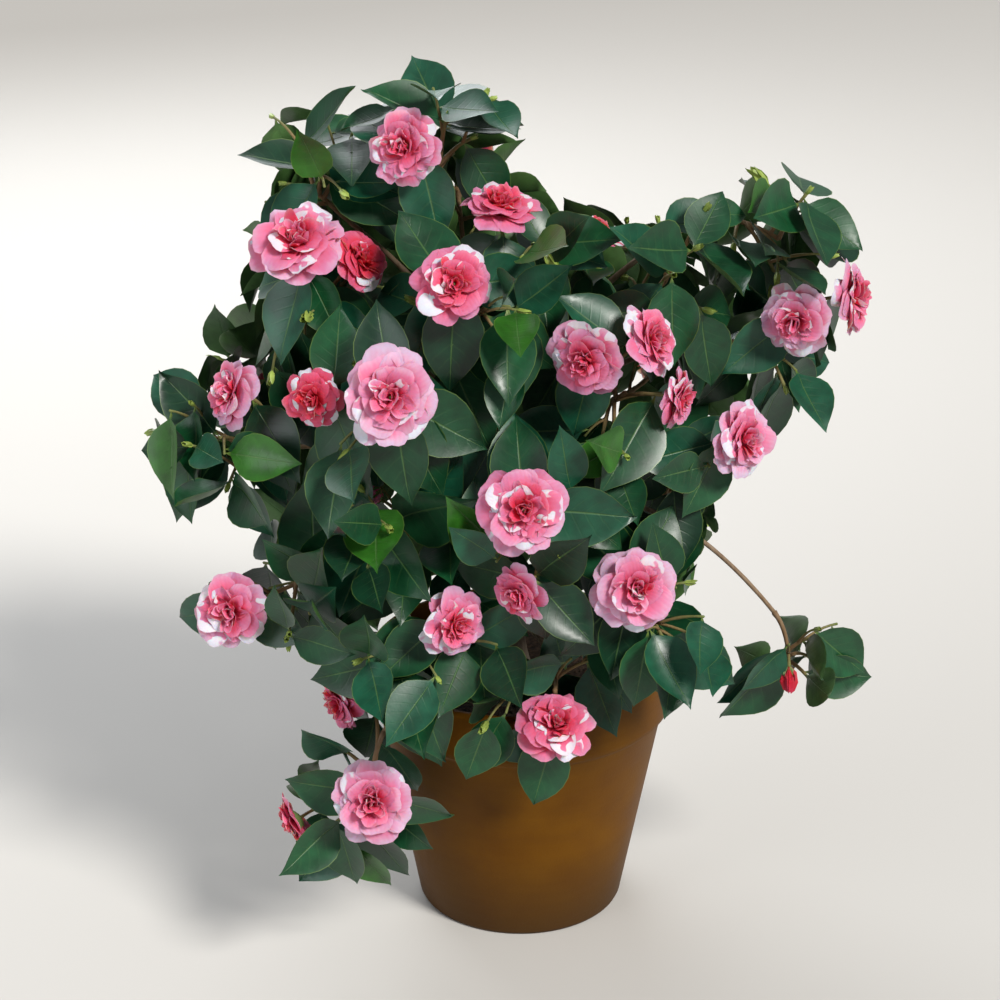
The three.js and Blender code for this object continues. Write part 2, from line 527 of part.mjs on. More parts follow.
for (const mass of masses) {
  const own = blooms.filter((bloom) => bloom.mass === mass);
  mass.twigs = own.map((bloom) => ({ curve: bloom.twig, bloom, leaves: [] }));
  growTwigs(mass);
}
for (const mass of masses) {
  wood.push(...mass.twigs.flatMap(({ curve }) => pointsAlong(curve, TWIG_ROOT_RADIUS, mass.name)));
}
masses.forEach(growLeaves);

// Closed solids that can be joined and cut, and back again.
function toManifold(geometry) {
  const bare = geometry.clone();
  bare.deleteAttribute("normal");
  bare.deleteAttribute("uv");
  const merged = mergeVertices(bare, 1e-4);
  return new wasm.Manifold(
    new wasm.Mesh({
      numProp: 3,
      vertProperties: merged.attributes.position.array,
      triVerts: new Uint32Array(merged.index.array),
    }),
  );
}

function toGeometry(solid) {
  const mesh = solid.getMesh();
  const geometry = new THREE.BufferGeometry();
  geometry.setAttribute("position", new THREE.BufferAttribute(mesh.vertProperties, 3));
  geometry.setIndex(new THREE.BufferAttribute(mesh.triVerts, 1));
  geometry.computeVertexNormals();
  return geometry;
}

// A round bar bent along a curve, with its radius worked out at each step.
function tube(curve, sides, steps, radius) {
  const geometry = new THREE.CylinderGeometry(1, 1, 1, sides, steps);
  const frames = curve.computeFrenetFrames(steps);
  const position = geometry.getAttribute("position");
  for (let i = 0; i < position.count; i++) {
    const step = Math.round((position.getY(i) + 0.5) * steps);
    const share = curve.getUtoTmapping(step / steps);
    const point = curve
      .getPoint(share)
      .addScaledVector(frames.binormals[step], position.getX(i) * radius(share))
      .addScaledVector(frames.normals[step], position.getZ(i) * radius(share));
    position.setXYZ(i, point.x, point.y, point.z);
  }
  return toManifold(geometry);
}

const limbSolid = (limb, extra = 0) =>
  tube(limb.curve, limb.sides, limb.steps, (share) => radiusAt(limb, share) + extra);

// A leaf is an arched blade with six corners, closed below along a straight rib from root to tip.
function leafSolid(leaf) {
  const corners = [[0, 0], ...LEAF_OUTLINE].map(([along, across]) => leafPoint(leaf, along, across));
  const upper = [[0, 5, 1], [1, 5, 4], [1, 4, 2], [2, 4, 3]];
  const lower = [[0, 1, 3], [1, 2, 3], [0, 3, 5], [5, 3, 4]];
  const geometry = new THREE.BufferGeometry().setFromPoints(corners);
  geometry.setIndex([...upper, ...lower].flat());
  return toManifold(geometry);
}

// A bloom is a scalloped round of petals with a raised boss, and a short neck behind.
const BLOOM_RINGS = [
  { out: 1.02, dip: 0.9, ahead: 0.04, points: 14 },
  { out: 0.6, dip: 0.6, ahead: 0.42, points: 7 },
];
function bloomSolid(bloom) {
  const [side, over] = squareTo(bloom.faces);
  const points = [bloom.at.clone().addScaledVector(bloom.faces, -BLOOM_NECK_SHARE * bloom.radius)];
  for (const ring of BLOOM_RINGS) {
    for (let i = 0; i < ring.points; i++) {
      const turn = (FULL_TURN * i) / ring.points;
      const out = bloom.radius * (i % 2 ? ring.dip : ring.out);
      points.push(
        bloom.at
          .clone()
          .addScaledVector(side, out * Math.cos(turn))
          .addScaledVector(over, out * Math.sin(turn))
          .addScaledVector(bloom.faces, ring.ahead * bloom.radius),
      );
    }
  }
  points.push(bloom.at.clone().addScaledVector(bloom.faces, 0.56 * bloom.radius));
  const faces = [];
  const last = points.length - 1;
  for (let i = 0; i < 14; i++) faces.push([0, 1 + i, 1 + ((i + 1) % 14)]);
  for (let i = 0; i < 7; i++) {
    const inner = 15 + i;
    const innerNext = 15 + ((i + 1) % 7);
    const outer = [1 + 2 * i, 2 + 2 * i, 1 + ((2 * i + 2) % 14)];
    faces.push([outer[1], outer[0], inner], [innerNext, outer[1], inner], [outer[2], outer[1], innerNext]);
    faces.push([innerNext, inner, last]);
  }
  const geometry = new THREE.BufferGeometry().setFromPoints(points);
  geometry.setIndex(faces.flat());
  return toManifold(geometry);
}

// A limb is cut clear of the one it grows from.
function cutClear(solid, parentName) {
  return parentName ? solid.subtract(limbSolid(limbs.get(parentName), 1.4 * CLEAR)) : solid;
}

// The stem, twigs, leaves and blooms of a mass, joined into one body; loose scraps are dropped.
function massSolid(mass) {
  const taper = (from, to) => (share) => from + (to - from) * share;
  const stem = tube(mass.stem, STEM_SIDES, STEM_STEPS, taper(STEM_ROOT_RADIUS, STEM_TIP_RADIUS));
  const twigs = mass.twigs.map(({ curve }) => {
    return tube(curve, TWIG_SIDES, TWIG_STEPS, taper(TWIG_ROOT_RADIUS, TWIG_TIP_RADIUS));
  });
  const rounds = blooms.filter((bloom) => bloom.mass === mass).map(bloomSolid);
  const whole = wasm.Manifold.union([stem, ...twigs, ...mass.leaves.map(leafSolid), ...rounds]);
  const apart = mass.share ? cutClear(whole, mass.on) : whole;
  return apart.decompose().sort((a, b) => b.volume() - a.volume())[0];
}

// An outline of distances from the middle and heights, turned about the upright axis.
function turned(outline) {
  const points = outline.map(([across, up]) => new THREE.Vector2(across, up));
  const lathe = new THREE.LatheGeometry(points, POT_SIDES);
  lathe.rotateX(Math.PI / 2);
  return lathe;
}

function potShape() {
  const bandFoot = POT_HEIGHT - POT_BAND_HEIGHT;
  const underBand = POT_RIM_RADIUS - 2 - POT_BAND_STEP;
  const mouth = POT_RIM_RADIUS - POT_WALL;
  const outline = [
    [0, 0],
    [POT_FOOT_RADIUS - 4, 0],
    [POT_FOOT_RADIUS, 4],
    [underBand, bandFoot - 5],
    [underBand + 3, bandFoot - 1],
    [POT_RIM_RADIUS - 3, bandFoot + 2],
    [POT_RIM_RADIUS - 2, bandFoot + 6],
    [POT_RIM_RADIUS, POT_HEIGHT - 6],
    [POT_RIM_RADIUS - 1.5, POT_HEIGHT - 1.5],
    [POT_RIM_RADIUS - 5, POT_HEIGHT],
    [mouth + 1, POT_HEIGHT - 2],
    [mouth - 1, POT_HEIGHT - 7],
    [POT_FOOT_RADIUS - POT_WALL, POT_FLOOR],
    [0, POT_FLOOR],
  ];
  return turned(outline);
}

// The compost fills the pot to below its rim, rising a little to the middle.
function compostShape() {
  const top = POT_HEIGHT - COMPOST_DEPTH_BELOW_RIM - CLEAR;
  const edge = top - COMPOST_MOUND;
  const floor = POT_FLOOR + CLEAR;
  const footInside = POT_FOOT_RADIUS - POT_WALL;
  const mouthInside = POT_RIM_RADIUS - POT_WALL - 1;
  const slope = (mouthInside - footInside) / (POT_HEIGHT - 7 - POT_FLOOR);
  const wallAt = (z) => footInside + slope * (z - POT_FLOOR) - CLEAR - 0.1;
  return turned([
    [0, floor],
    [wallAt(floor), floor],
    [wallAt(edge), edge],
    [wallAt(edge) - 30, top - 1],
    [40, top],
    [0, top],
  ]);
}

// Materials.
const clay = new THREE.MeshStandardMaterial({ color: 0x9a6428, roughness: 0.45, metalness: 0 });
const compost = new THREE.MeshStandardMaterial({ color: 0x2e221a, roughness: 1, metalness: 0 });
const bark = new THREE.MeshStandardMaterial({ color: 0x7d6a55, roughness: 0.9, metalness: 0 });
const foliage = new THREE.MeshStandardMaterial({ color: 0x1f5a3c, roughness: 0.35, metalness: 0 });

const camellia = new THREE.Group();
camellia.name = "camellia_in_pot";

function addPiece(name, geometry, material) {
  const mesh = new THREE.Mesh(geometry, material);
  mesh.name = name;
  camellia.add(mesh);
}

addPiece("pot", potShape(), clay);
addPiece("compost", compostShape(), compost);
for (const [name, limb] of limbs) {
  addPiece(name, toGeometry(cutClear(limbSolid(limb), limb.parent)), bark);
}
for (const mass of masses) {
  addPiece(mass.name, toGeometry(massSolid(mass)), foliage);
}

export default camellia;
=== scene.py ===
# %% [markdown]
# # A camellia shrub in its pot
# This lesson dresses a camellia: a slender trunk and its boughs, nearly seven hundred glossy leaves,
# pink double blooms, buds, and the clay-coloured pot with its compost. The plain solids come in first
# as a fixed frame. Everything made here stands in that frame, in metres, with +Z up and the front of
# the shrub at -Y.

import math
from types import SimpleNamespace

import bmesh
import bpy
import numpy as np
from mathutils import Matrix, Vector, noise


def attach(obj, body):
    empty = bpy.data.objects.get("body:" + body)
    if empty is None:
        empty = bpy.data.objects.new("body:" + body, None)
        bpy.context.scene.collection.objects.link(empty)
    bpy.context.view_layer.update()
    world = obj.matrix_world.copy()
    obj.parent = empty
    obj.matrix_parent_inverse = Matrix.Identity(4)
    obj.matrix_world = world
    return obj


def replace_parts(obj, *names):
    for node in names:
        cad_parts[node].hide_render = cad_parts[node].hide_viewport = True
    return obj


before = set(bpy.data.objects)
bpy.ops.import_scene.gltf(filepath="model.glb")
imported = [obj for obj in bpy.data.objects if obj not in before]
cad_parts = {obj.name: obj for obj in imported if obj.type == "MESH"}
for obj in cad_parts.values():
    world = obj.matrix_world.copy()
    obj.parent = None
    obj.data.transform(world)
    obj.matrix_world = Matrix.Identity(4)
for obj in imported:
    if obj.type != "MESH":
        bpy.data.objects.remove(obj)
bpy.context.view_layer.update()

# %% [markdown]
# ## How the shrub is planned
# A real shrub forks again and again: trunk, boughs, twigs, leaves. It could be drawn leaf by leaf, but
# a rule with a seed is shorter and gives the same plant each time. The sizes below are the ones that
# the solids were built from, in millimetres, so the twigs and leaves of this file grow exactly where
# the solids have them.

# %% Sizes of pot and wood
MM = 0.001
POT_HEIGHT = 265
POT_FOOT_RADIUS = 102
POT_RIM_RADIUS = 150
POT_BAND_HEIGHT = 54
POT_BAND_STEP = 8
POT_WALL = 10
POT_FLOOR = 14
COMPOST_TOP = 243
COMPOST_MOUND = 6
CLEAR = 0.3

TRUNK = [(-4, 4, COMPOST_TOP), (-4, 4, 380), (-28, 10, 540), (-72, -6, 700)]
TRUNK_FOOT_RADIUS = 9
TRUNK_TIP_RADIUS = 3.4
ROOT_FLARE = 7
ROOT_FLARE_HEIGHT = 14
BOUGH_TIP_RADIUS = 2.1

# Each bough: its name, the share of the trunk's length at which it leaves, its end, how far its middle is
# lifted, and its root's radius. One bough leaves another bough, named last.
BOUGHS = [
    ("top_left", 0.72, (-148, 4, 690), 8, 3.4),
    ("left_upper", 0.54, (-146, -32, 600), 14, 4.2),
    ("arch", 0.6, (160, 18, 694), 22, 4.2),
    ("right_top", 0.65, (84, -34, 622), 6, 3.6),
    ("right_cluster", 0.5, (178, -22, 592), 30, 4.2),
    ("right_mid", 0.43, (56, -60, 530), 6, 4),
    ("centre", 0.48, (-94, -96, 552), 6, 4),
    ("centre_left", 0.385, (-78, -84, 432), 10, 4),
    ("far_left", 0.335, (-208, -34, 492), 26, 4.8),
    ("right", 0.3, (106, -60, 452), 14, 4.6),
    ("right_tip", 0.8, (240, -62, 334), 22, 2.3, "bough_right"),
    ("centre_low", 0.26, (8, -110, 426), 10, 4),
    ("left_low", 0.21, (-154, -78, 382), 22, 4.8),
    ("right_front", 0.16, (70, -84, 352), 16, 4.2),
    ("low_centre", 0.17, (-58, -98, 336), 14, 4),
    ("hanging", 0.12, (-128, -160, 258), 42, 4),
    ("bottom", 0.1, (24, -76, 300), 10, 3.8),
    ("back_left_top", 0.57, (-150, 75, 602), 16, 4),
    ("back", 0.46, (-50, 126, 530), 14, 4.2),
    ("back_right", 0.41, (90, 95, 490), 18, 4.2),
    ("back_left", 0.31, (-178, 80, 466), 20, 4.4),
    ("back_low", 0.27, (-8, 136, 382), 16, 4),
    ("back_left_low", 0.22, (-104, 95, 352), 18, 4.2),
    ("back_right_low", 0.18, (90, 76, 356), 18, 4.2),
]
print("boughs", len(BOUGHS))

# %% [markdown]
# ## Masses and blooms
# Twenty-nine masses of foliage make the crown. Each has a heart and a reach that its leaves stay
# inside. It grows on from the tip of the bough that has its name. Where its row names the trunk, it
# leaves the trunk at a share of its length, or grows on from its tip. Some have their own greatest number
# of leaves, or take another start for their chances. A bloom is given by its middle, the way that it
# faces, its width, and how deep its pink is.

# %% Tables of masses and blooms
MASSES = [
    dict(name="top_left", heart=(-190, 2, 730), reach=110, seed=2),
    dict(name="top", on="trunk", heart=(-74, -14, 772), reach=114, most=17, seed=8),
    dict(name="upper_right", on="trunk", share=0.68, heart=(22, -44, 690), reach=132),
    dict(name="left_upper", heart=(-192, -54, 650), reach=128),
    dict(name="centre_upper", on="trunk", share=0.64, heart=(-55, -106, 650), reach=140),
    dict(name="centre", heart=(-126, -142, 572), reach=130),
    dict(name="arch", heart=(236, 2, 684), reach=118, most=14, seed=4),
    dict(name="right_top", heart=(128, -54, 660), reach=130),
    dict(name="right_cluster", heart=(238, -34, 596), reach=124),
    dict(name="right_mid", heart=(92, -108, 574), reach=136, most=14),
    dict(name="far_left", heart=(-266, -46, 500), reach=126, most=14),
    dict(name="centre_left", heart=(-112, -132, 456), reach=136, most=15),
    dict(name="right", heart=(164, -86, 484), reach=130, most=16),
    dict(name="right_tip", heart=(256, -62, 282), reach=94, most=8, seed=10),
    dict(name="left_low", heart=(-214, -112, 394), reach=130, most=15, seed=1),
    dict(name="centre_low", heart=(8, -166, 466), reach=130),
    dict(name="right_front", heart=(110, -142, 380), reach=136, most=15),
    dict(name="low_centre", heart=(-82, -154, 362), reach=136, most=17),
    dict(name="bottom", heart=(30, -156, 298), reach=130, most=15, seed=2),
    dict(name="hanging", heart=(-142, -182, 184), reach=140, most=19, seed=5),
    dict(name="back_top", on="trunk", share=0.8, heart=(-62, 92, 716), reach=126),
    dict(name="back_left_top", heart=(-204, 106, 640), reach=130),
    dict(name="back_right_top", on="trunk", share=0.62, heart=(84, 104, 636), reach=130),
    dict(name="back_left", heart=(-236, 110, 476), reach=132),
    dict(name="back", heart=(-56, 182, 556), reach=134),
    dict(name="back_right", heart=(140, 144, 508), reach=132),
    dict(name="back_left_low", heart=(-152, 136, 352), reach=130),
    dict(name="back_low", heart=(0, 190, 388), reach=132),
    dict(name="back_right_low", heart=(142, 116, 370), reach=128),
]
# Depths of pink for the blooms. The deepest, coral, goes only to blooms deep in the crown where shade falls
# on them: painted shade.
PALE, PINK, ROSE, CORAL_AS_SHADE = 0.4, 0.5, 0.62, 0.86
# Each bloom: the mass that bears it, its middle, the way that it faces, its width and its pink.
BLOOMS = [
    ("top", (-104, -66, 790), (-0.35, -0.9, 0.25), 78, PINK),
    ("left_upper", (-200, -84, 707), (-0.1, -0.55, 0.85), 96, PINK),
    ("left_upper", (-146, -58, 682), (0.6, -0.5, 0.5), 66, CORAL_AS_SHADE),
    ("upper_right", (-19, -64, 734), (0.1, -0.25, 1), 76, ROSE),
    ("centre_upper", (-60, -152, 691), (0.05, -0.95, 0.35), 75, ROSE),
    ("centre", (-115, -204, 606), (0, -0.95, 0.35), 92, PALE),
    ("centre", (-184, -148, 583), (-0.35, -0.9, 0.1), 62, CORAL_AS_SHADE),
    ("far_left", (-262, -104, 572), (-0.8, -0.5, 0.35), 74, PALE),
    ("upper_right", (64, -2, 690), (0.2, 0.2, 1), 68, CORAL_AS_SHADE),
    ("right_mid", (54, -156, 622), (-0.3, -0.85, -0.1), 76, PINK),
    ("right_mid", (112, -140, 634), (0.75, -0.5, 0.4), 72, PINK),
    ("right_mid", (138, -132, 578), (0.9, -0.4, -0.05), 62, PINK),
    ("right_cluster", (246, -70, 630), (-0.25, -0.85, 0), 74, PALE),
    ("right_cluster", (300, -34, 640), (0.95, -0.3, 0.1), 78, PINK),
    ("right", (198, -122, 535), (0.6, -0.75, 0.2), 76, PALE),
    ("centre_low", (0, -232, 513), (0, -0.93, 0.38), 86, PINK),
    ("centre_low", (-4, -212, 424), (-0.65, -0.7, -0.15), 62, PINK),
    ("right_front", (100, -204, 425), (0.05, -0.92, 0.35), 86, PALE),
    ("left_low", (-266, -150, 377), (-0.2, -0.9, 0.3), 78, PINK),
    ("low_centre", (-61, -208, 392), (0.5, -0.8, 0.1), 70, PINK),
    ("hanging", (-168, -140, 278), (-0.85, -0.45, -0.2), 64, ROSE),
    ("bottom", (31, -196, 284), (0.05, -0.6, 0.8), 79, ROSE),
    ("hanging", (-138, -212, 214), (0, -0.95, 0.3), 84, PALE),
    ("hanging", (-212, -168, 168), (-0.8, -0.2, -0.5), 60, ROSE),
    ("back_top", (-60, 146, 726), (0.1, 0.8, 0.6), 78, PINK),
    ("back_left_top", (-204, 170, 614), (-0.5, 0.8, 0.4), 82, ROSE),
    ("back_right_top", (88, 166, 606), (0.3, 0.85, 0.35), 74, PALE),
    ("back_left", (-262, 162, 476), (-0.8, 0.6, 0.2), 80, PINK),
    ("back", (-70, 242, 582), (-0.1, 0.95, 0.3), 86, PALE),
    ("back_right", (140, 214, 498), (0.5, 0.85, 0.2), 80, PINK),
    ("back_left_low", (-188, 192, 366), (-0.5, 0.85, 0), 76, ROSE),
    ("back_low", (-6, 250, 400), (0.1, 0.95, 0.2), 84, PINK),
    ("back_right_low", (150, 170, 372), (0.75, 0.6, 0.1), 74, PALE),
]
print("masses", len(MASSES), "blooms", len(BLOOMS))

# %% Sizes of twigs and leaves
# Stems, twigs and the twigs of blooms. A share is of the curve's length or of the mass's reach.
STEM_RADIUS = 2.6
STEM_LIFT = 6
STEM_BEND_SHARE = 0.4
TWIG_ROOT_RADIUS = 2.4
TWIG_TIP_RADIUS = 1.5
TWIGS_PER_MASS = 6
TWIG_SHARE_OF_REACH = 0.36
TWIG_LIFT = 3
TWIG_WIDEST_LEAN = 1.5
BLOOM_TWIG_FROM = 0.8
BLOOM_TWIG_SUNK = 4
BLOOM_TWIG_BEND = 0.5
BLOOM_NECK_SHARE = 0.3

# Leaves: their spacing and number, their size, and how they spread, droop, roll and bend.
LEAF_SPACING = 19
TIP_SPACING = 3
LEAVES_AT_TIP = 5
FEWEST_LEAVES = 2
MOST_LEAVES = 6
MOST_LEAVES_IN_MASS = 13
LEAF_SHORTEST = 86
LEAF_LONGEST = 110
LEAF_WIDTH_SHARE = 0.58
LEAF_SPREAD = 1.15
LEAF_SPREAD_AT_BLOOM = 1.55
LEAST_DROOP = 0.3
MORE_DROOP = 0.45
DROOP_ENDS_AT = 1.3
LEAF_ROLL = 0.7
LEAST_BEND = 0.08
MORE_BEND = 0.1
LIGHT_FROM_ABOVE = 0.4
LIGHT_FROM_FRONT = 0.7
LEAF_TRIES = 18
TRY_TURN = 0.8
TRY_SHRINK = 0.013
FULL_TURN = 2 * math.pi
GOLDEN_ANGLE = math.pi * (3 - math.sqrt(5))

# Where each mass, twig and kind of piece starts its chances.
SEED = 20261
SEED_PER_MASS = 977
SEED_PER_TWIG = 31
SIDE_TWIG_SEED = 7
BLADE_SEED = 99
FLOWER_SEED = 51
CRUMB_SEED = 5

# How far leaves lace into the next mass's space, how low they hang, and the room that things keep.
LACING = 30
LOWEST_LEAF = 84
LEAF_ROOM = 3
WOOD_ROOM = 2.5
TWIG_ROOM = 3
TWIG_GAP_AT_WALL = 8
POT_ROOM = 3
BLOOM_ROOM = 1.05
BLOOM_ROOM_AHEAD = 1.3
BLOOM_VIEW_LENGTH = 160
BLOOM_VIEW_SHARE = 0.8
BLOOM_SHOWS_FROM = 0.35

# Directions, and where the crown's middle is. Leaves on this side of FRONT_HALF turn to the front.
UP = np.array((0.0, 0.0, 1.0))
FRONT = np.array((0.0, -1.0, 0.0))
FRONT_HALF = 30
FRONT_SIGHT = np.array((0.0, -0.92, 0.39))
CROWN_MIDDLE = np.array((-30.0, 0.0, 470.0))
CROWN_FLATNESS = np.array((0.8, 1.6, 0.7))
print("longest leaf", LEAF_LONGEST, "mm")

# %% [markdown]
# ## Curves and chances
# A limb is a Bezier curve: a few control points give it a smooth bend. Blender has Bezier objects, but
# here only points and directions along the curve are needed. Going the same share of the way between
# neighbouring points, again and again, gives those in two lines. The chances come from a small counting
# rule, so that every run draws the same numbers.

# %% Curves and seeded draws
def unit(vector):
    return vector / np.linalg.norm(vector)


def distance(a, b):
    return float(np.linalg.norm(a - b))


class Bend:
    """A Bezier curve through its first and last points, pulled by those between."""

    def __init__(self, *points):
        self.points = [np.array(point, float) for point in points]

    def at(self, share):
        points = self.points
        while len(points) > 1:
            points = [a + (b - a) * share for a, b in zip(points, points[1:])]
        return points[0]

    def ahead(self, share):
        step = 1e-4
        return unit(self.at(min(1, share + step)) - self.at(max(0, share - step)))

    def span(self):
        return distance(self.points[0], self.points[-1])


def arching(start, end, lift):
    return Bend(start, (np.array(start) + np.array(end)) / 2 + UP * 2 * lift, end)


DRAW_RANGE = 2**32
DRAW_TIMES = 1664525
DRAW_PLUS = 1013904223


def seeded(seed):
    """A rule that gives another number from 0 to 1 at each call, the same ones for the same seed."""
    state = seed % DRAW_RANGE

    def draw():
        nonlocal state
        state = (state * DRAW_TIMES + DRAW_PLUS) % DRAW_RANGE
        return state / DRAW_RANGE

    draw()
    draw()
    return draw


def square_to(direction):
    """Two directions square to a first one."""
    helper = UP if abs(direction[2]) < 0.9 else FRONT
    side = unit(np.cross(direction, helper))
    return side, unit(np.cross(side, direction))


def turned(sides, turn):
    """The direction at some turn round an axis, from two that are square to it."""
    side, over = sides
    return side * math.cos(turn) + over * math.sin(turn)


print("seed", SEED, "draws first", seeded(SEED)())


# %% [markdown]
# ## Trunk, boughs and stems
# Every bough starts on the middle line of its parent, so that its root is buried in the parent's wood
# as a real fork is. A mass's stem goes on from the bough's tip in the same direction, or leaves the
# side of the trunk.

# %% Lay out the limbs, stems and bloom twigs
limbs = {"trunk": SimpleNamespace(curve=Bend(*TRUNK), root=TRUNK_FOOT_RADIUS, tip=TRUNK_TIP_RADIUS)}
for name, share, end, lift, radius, *other in BOUGHS:
    parent = other[0] if other else "trunk"
    curve = arching(limbs[parent].curve.at(share), end, lift)
    limbs["bough_" + name] = SimpleNamespace(curve=curve, root=radius, tip=BOUGH_TIP_RADIUS)


def stem_of(mass):
    """A mass's stem leaves the side of its limb, or goes on ahead from the limb's tip."""
    limb = limbs[mass.on].curve
    start = limb.at(mass.share or 1)
    if mass.share:
        return arching(start, mass.heart, STEM_LIFT)
    ahead = limb.ahead(1)
    start = start + ahead * CLEAR
    return Bend(start, start + ahead * STEM_BEND_SHARE * distance(start, mass.heart), mass.heart)


masses = []
for number, row in enumerate(MASSES):
    mass = SimpleNamespace(on="bough_" + row["name"], share=None, most=MOST_LEAVES_IN_MASS, number=number)
    mass.__dict__.update(row)
    mass.seed = SEED + SEED_PER_MASS * number + row.get("seed", 0)
    mass.heart = np.array(mass.heart, float)
    mass.stem = stem_of(mass)
    mass.outward = unit(mass.heart - CROWN_MIDDLE)
    masses.append(mass)

blooms = []
for mass_name, at, faces, width, tone in BLOOMS:
    bloom = SimpleNamespace(at=np.array(at, float), radius=width / 2, tone=tone)
    bloom.faces = unit(np.array(faces, float))
    bloom.mass = next(mass for mass in masses if mass.name == mass_name)
    back = bloom.at - bloom.faces * BLOOM_NECK_SHARE * bloom.radius
    start = bloom.mass.stem.at(BLOOM_TWIG_FROM)
    bend = back - bloom.faces * BLOOM_TWIG_BEND * distance(start, back)
    bloom.twig = Bend(start, bend, bloom.at - bloom.faces * BLOOM_TWIG_SUNK)
    blooms.append(bloom)
print("limbs", len(limbs), "stems", len(masses), "bloom twigs", len(blooms))


# %% [markdown]
# ## What keeps leaves and twigs apart
# Leaves on a real shrub find the light without passing through each other. A physics run could push
# them apart, but a test before each leaf is placed is quicker and always gives the same result: the
# leaf's edge and midrib have to stay in the mass's own space and clear of the wood, the pot, the blooms
# and the leaves already there.

# %% Points that twigs and leaves keep clear of
KEEP_CLEAR_STEP = 4
wood = SimpleNamespace(at=np.zeros((0, 3)), radius=np.zeros(0), owner=np.zeros(0, int))
LIMB_OWNER = -1


def add_wood(curve, radius, owner):
    steps = math.ceil(curve.span() / KEEP_CLEAR_STEP) + 4
    wood.at = np.vstack([wood.at] + [curve.at(i / steps) for i in range(steps + 1)])
    wood.radius = np.append(wood.radius, np.full(steps + 1, radius))
    wood.owner = np.append(wood.owner, np.full(steps + 1, owner))


for limb in limbs.values():
    add_wood(limb.curve, limb.root, LIMB_OWNER)
for mass in masses:
    add_wood(mass.stem, STEM_RADIUS, mass.number)
for bloom in blooms:
    add_wood(bloom.twig, TWIG_ROOT_RADIUS, bloom.mass.number)
hearts = np.array([mass.heart for mass in masses])
bloom_at = np.array([bloom.at for bloom in blooms])
bloom_faces = np.array([bloom.faces for bloom in blooms])
bloom_radius = np.array([bloom.radius for bloom in blooms])
bloom_shows = bloom_faces @ FRONT_SIGHT >= BLOOM_SHOWS_FROM
print("points of wood", len(wood.at))

# %% Tests for spaces, pot and blooms
def inside_space(mass, points, gap):
    """Whether points are in a mass's reach, and nearer to its heart than to any other by twice the gap."""
    squared = ((points[:, None] - hearts) ** 2).sum(2)
    own = squared[:, mass.number]
    far = squared - own[:, None] - 2 * gap * np.linalg.norm(hearts - mass.heart, axis=1)
    far[:, mass.number] = 1
    return (own <= mass.reach**2) & (far > 0).all(1)


def clear_of_pot(points):
    across, up = np.hypot(points[:, 0], points[:, 1]), points[:, 2]
    above_compost = (up > COMPOST_TOP + POT_ROOM) & (across < POT_RIM_RADIUS - POT_WALL - 2 * POT_ROOM)
    beside = (up > POT_HEIGHT + POT_ROOM) | (across > POT_RIM_RADIUS + POT_ROOM)
    return (up > LOWEST_LEAF) & (above_compost | beside)


# The crown's outline as the front view shows it: across and up, on the plane through the axis.
EYE = np.array((-20.0, -2296.0, 1398.0))
CROWN_OUTLINE = np.array([
    (-160, 828), (-96, 864), (-64, 854), (-48, 828), (-20, 822), (6, 794), (6, 776),
    (-16, 752), (24, 742), (48, 722), (112, 696), (134, 716), (252, 766), (288, 752),
    (318, 680), (326, 626), (292, 554), (300, 494), (278, 486), (254, 520), (236, 444),
    (192, 434), (190, 382), (168, 354), (164, 318), (194, 284), (240, 290), (262, 314),
    (288, 298), (332, 290), (356, 226), (318, 192), (246, 204), (212, 182), (168, 196),
    (120, 160), (80, 158), (66, 106), (28, 94), (26, 54), (-20, 66), (-36, 130),
    (-66, 94), (-52, 28), (-108, -24), (-180, -34), (-246, 2), (-280, 60), (-274, 88),
    (-232, 130), (-232, 166), (-194, 194), (-214, 220), (-216, 258), (-254, 254), (-292, 238),
    (-358, 242), (-354, 296), (-322, 328), (-272, 360), (-272, 382), (-298, 410), (-324, 384),
    (-350, 402), (-346, 444), (-374, 486), (-374, 534), (-334, 564), (-290, 568), (-308, 626),
    (-262, 652), (-256, 708), (-222, 730), (-234, 754), (-258, 730), (-266, 754), (-242, 810),
    (-208, 840),
], float)


def inside_outline(points):
    """Whether points are in the crown's outline as it looks from the front, drawn on the plane at y = 0."""
    seen = (points - EYE) * (-EYE[1] / (points[:, 1:2] - EYE[1])) + EYE
    across, up = seen[:, :1], seen[:, 2:]
    to = CROWN_OUTLINE
    came = np.roll(to, 1, axis=0)
    level = (came[:, 1] > up) != (to[:, 1] > up)
    rise = np.where(to[:, 1] == came[:, 1], 1, to[:, 1] - came[:, 1])
    right = across < came[:, 0] + (to[:, 0] - came[:, 0]) * (up - came[:, 1]) / rise
    return (level & right).sum(1) % 2 == 1


def covers_bloom(points):
    """Whether a point lies in a bloom's round, or in front of one that shows from the front."""
    offset = points[:, None] - bloom_at
    ahead = (offset * bloom_faces).sum(2)
    aside = np.linalg.norm(offset - ahead[..., None] * bloom_faces, axis=2) / bloom_radius
    ahead = ahead / bloom_radius
    if ((ahead > -BLOOM_NECK_SHARE) & (ahead < BLOOM_ROOM_AHEAD) & (aside < BLOOM_ROOM)).any():
        return True
    near = offset @ FRONT_SIGHT
    apart = np.linalg.norm(offset - near[..., None] * FRONT_SIGHT, axis=2)
    hides = (near > 0) & (near < BLOOM_VIEW_LENGTH) & (apart < BLOOM_VIEW_SHARE * bloom_radius)
    return bool((hides & bloom_shows).any())


print("blooms that no leaf may hide", int(bloom_shows.sum()))


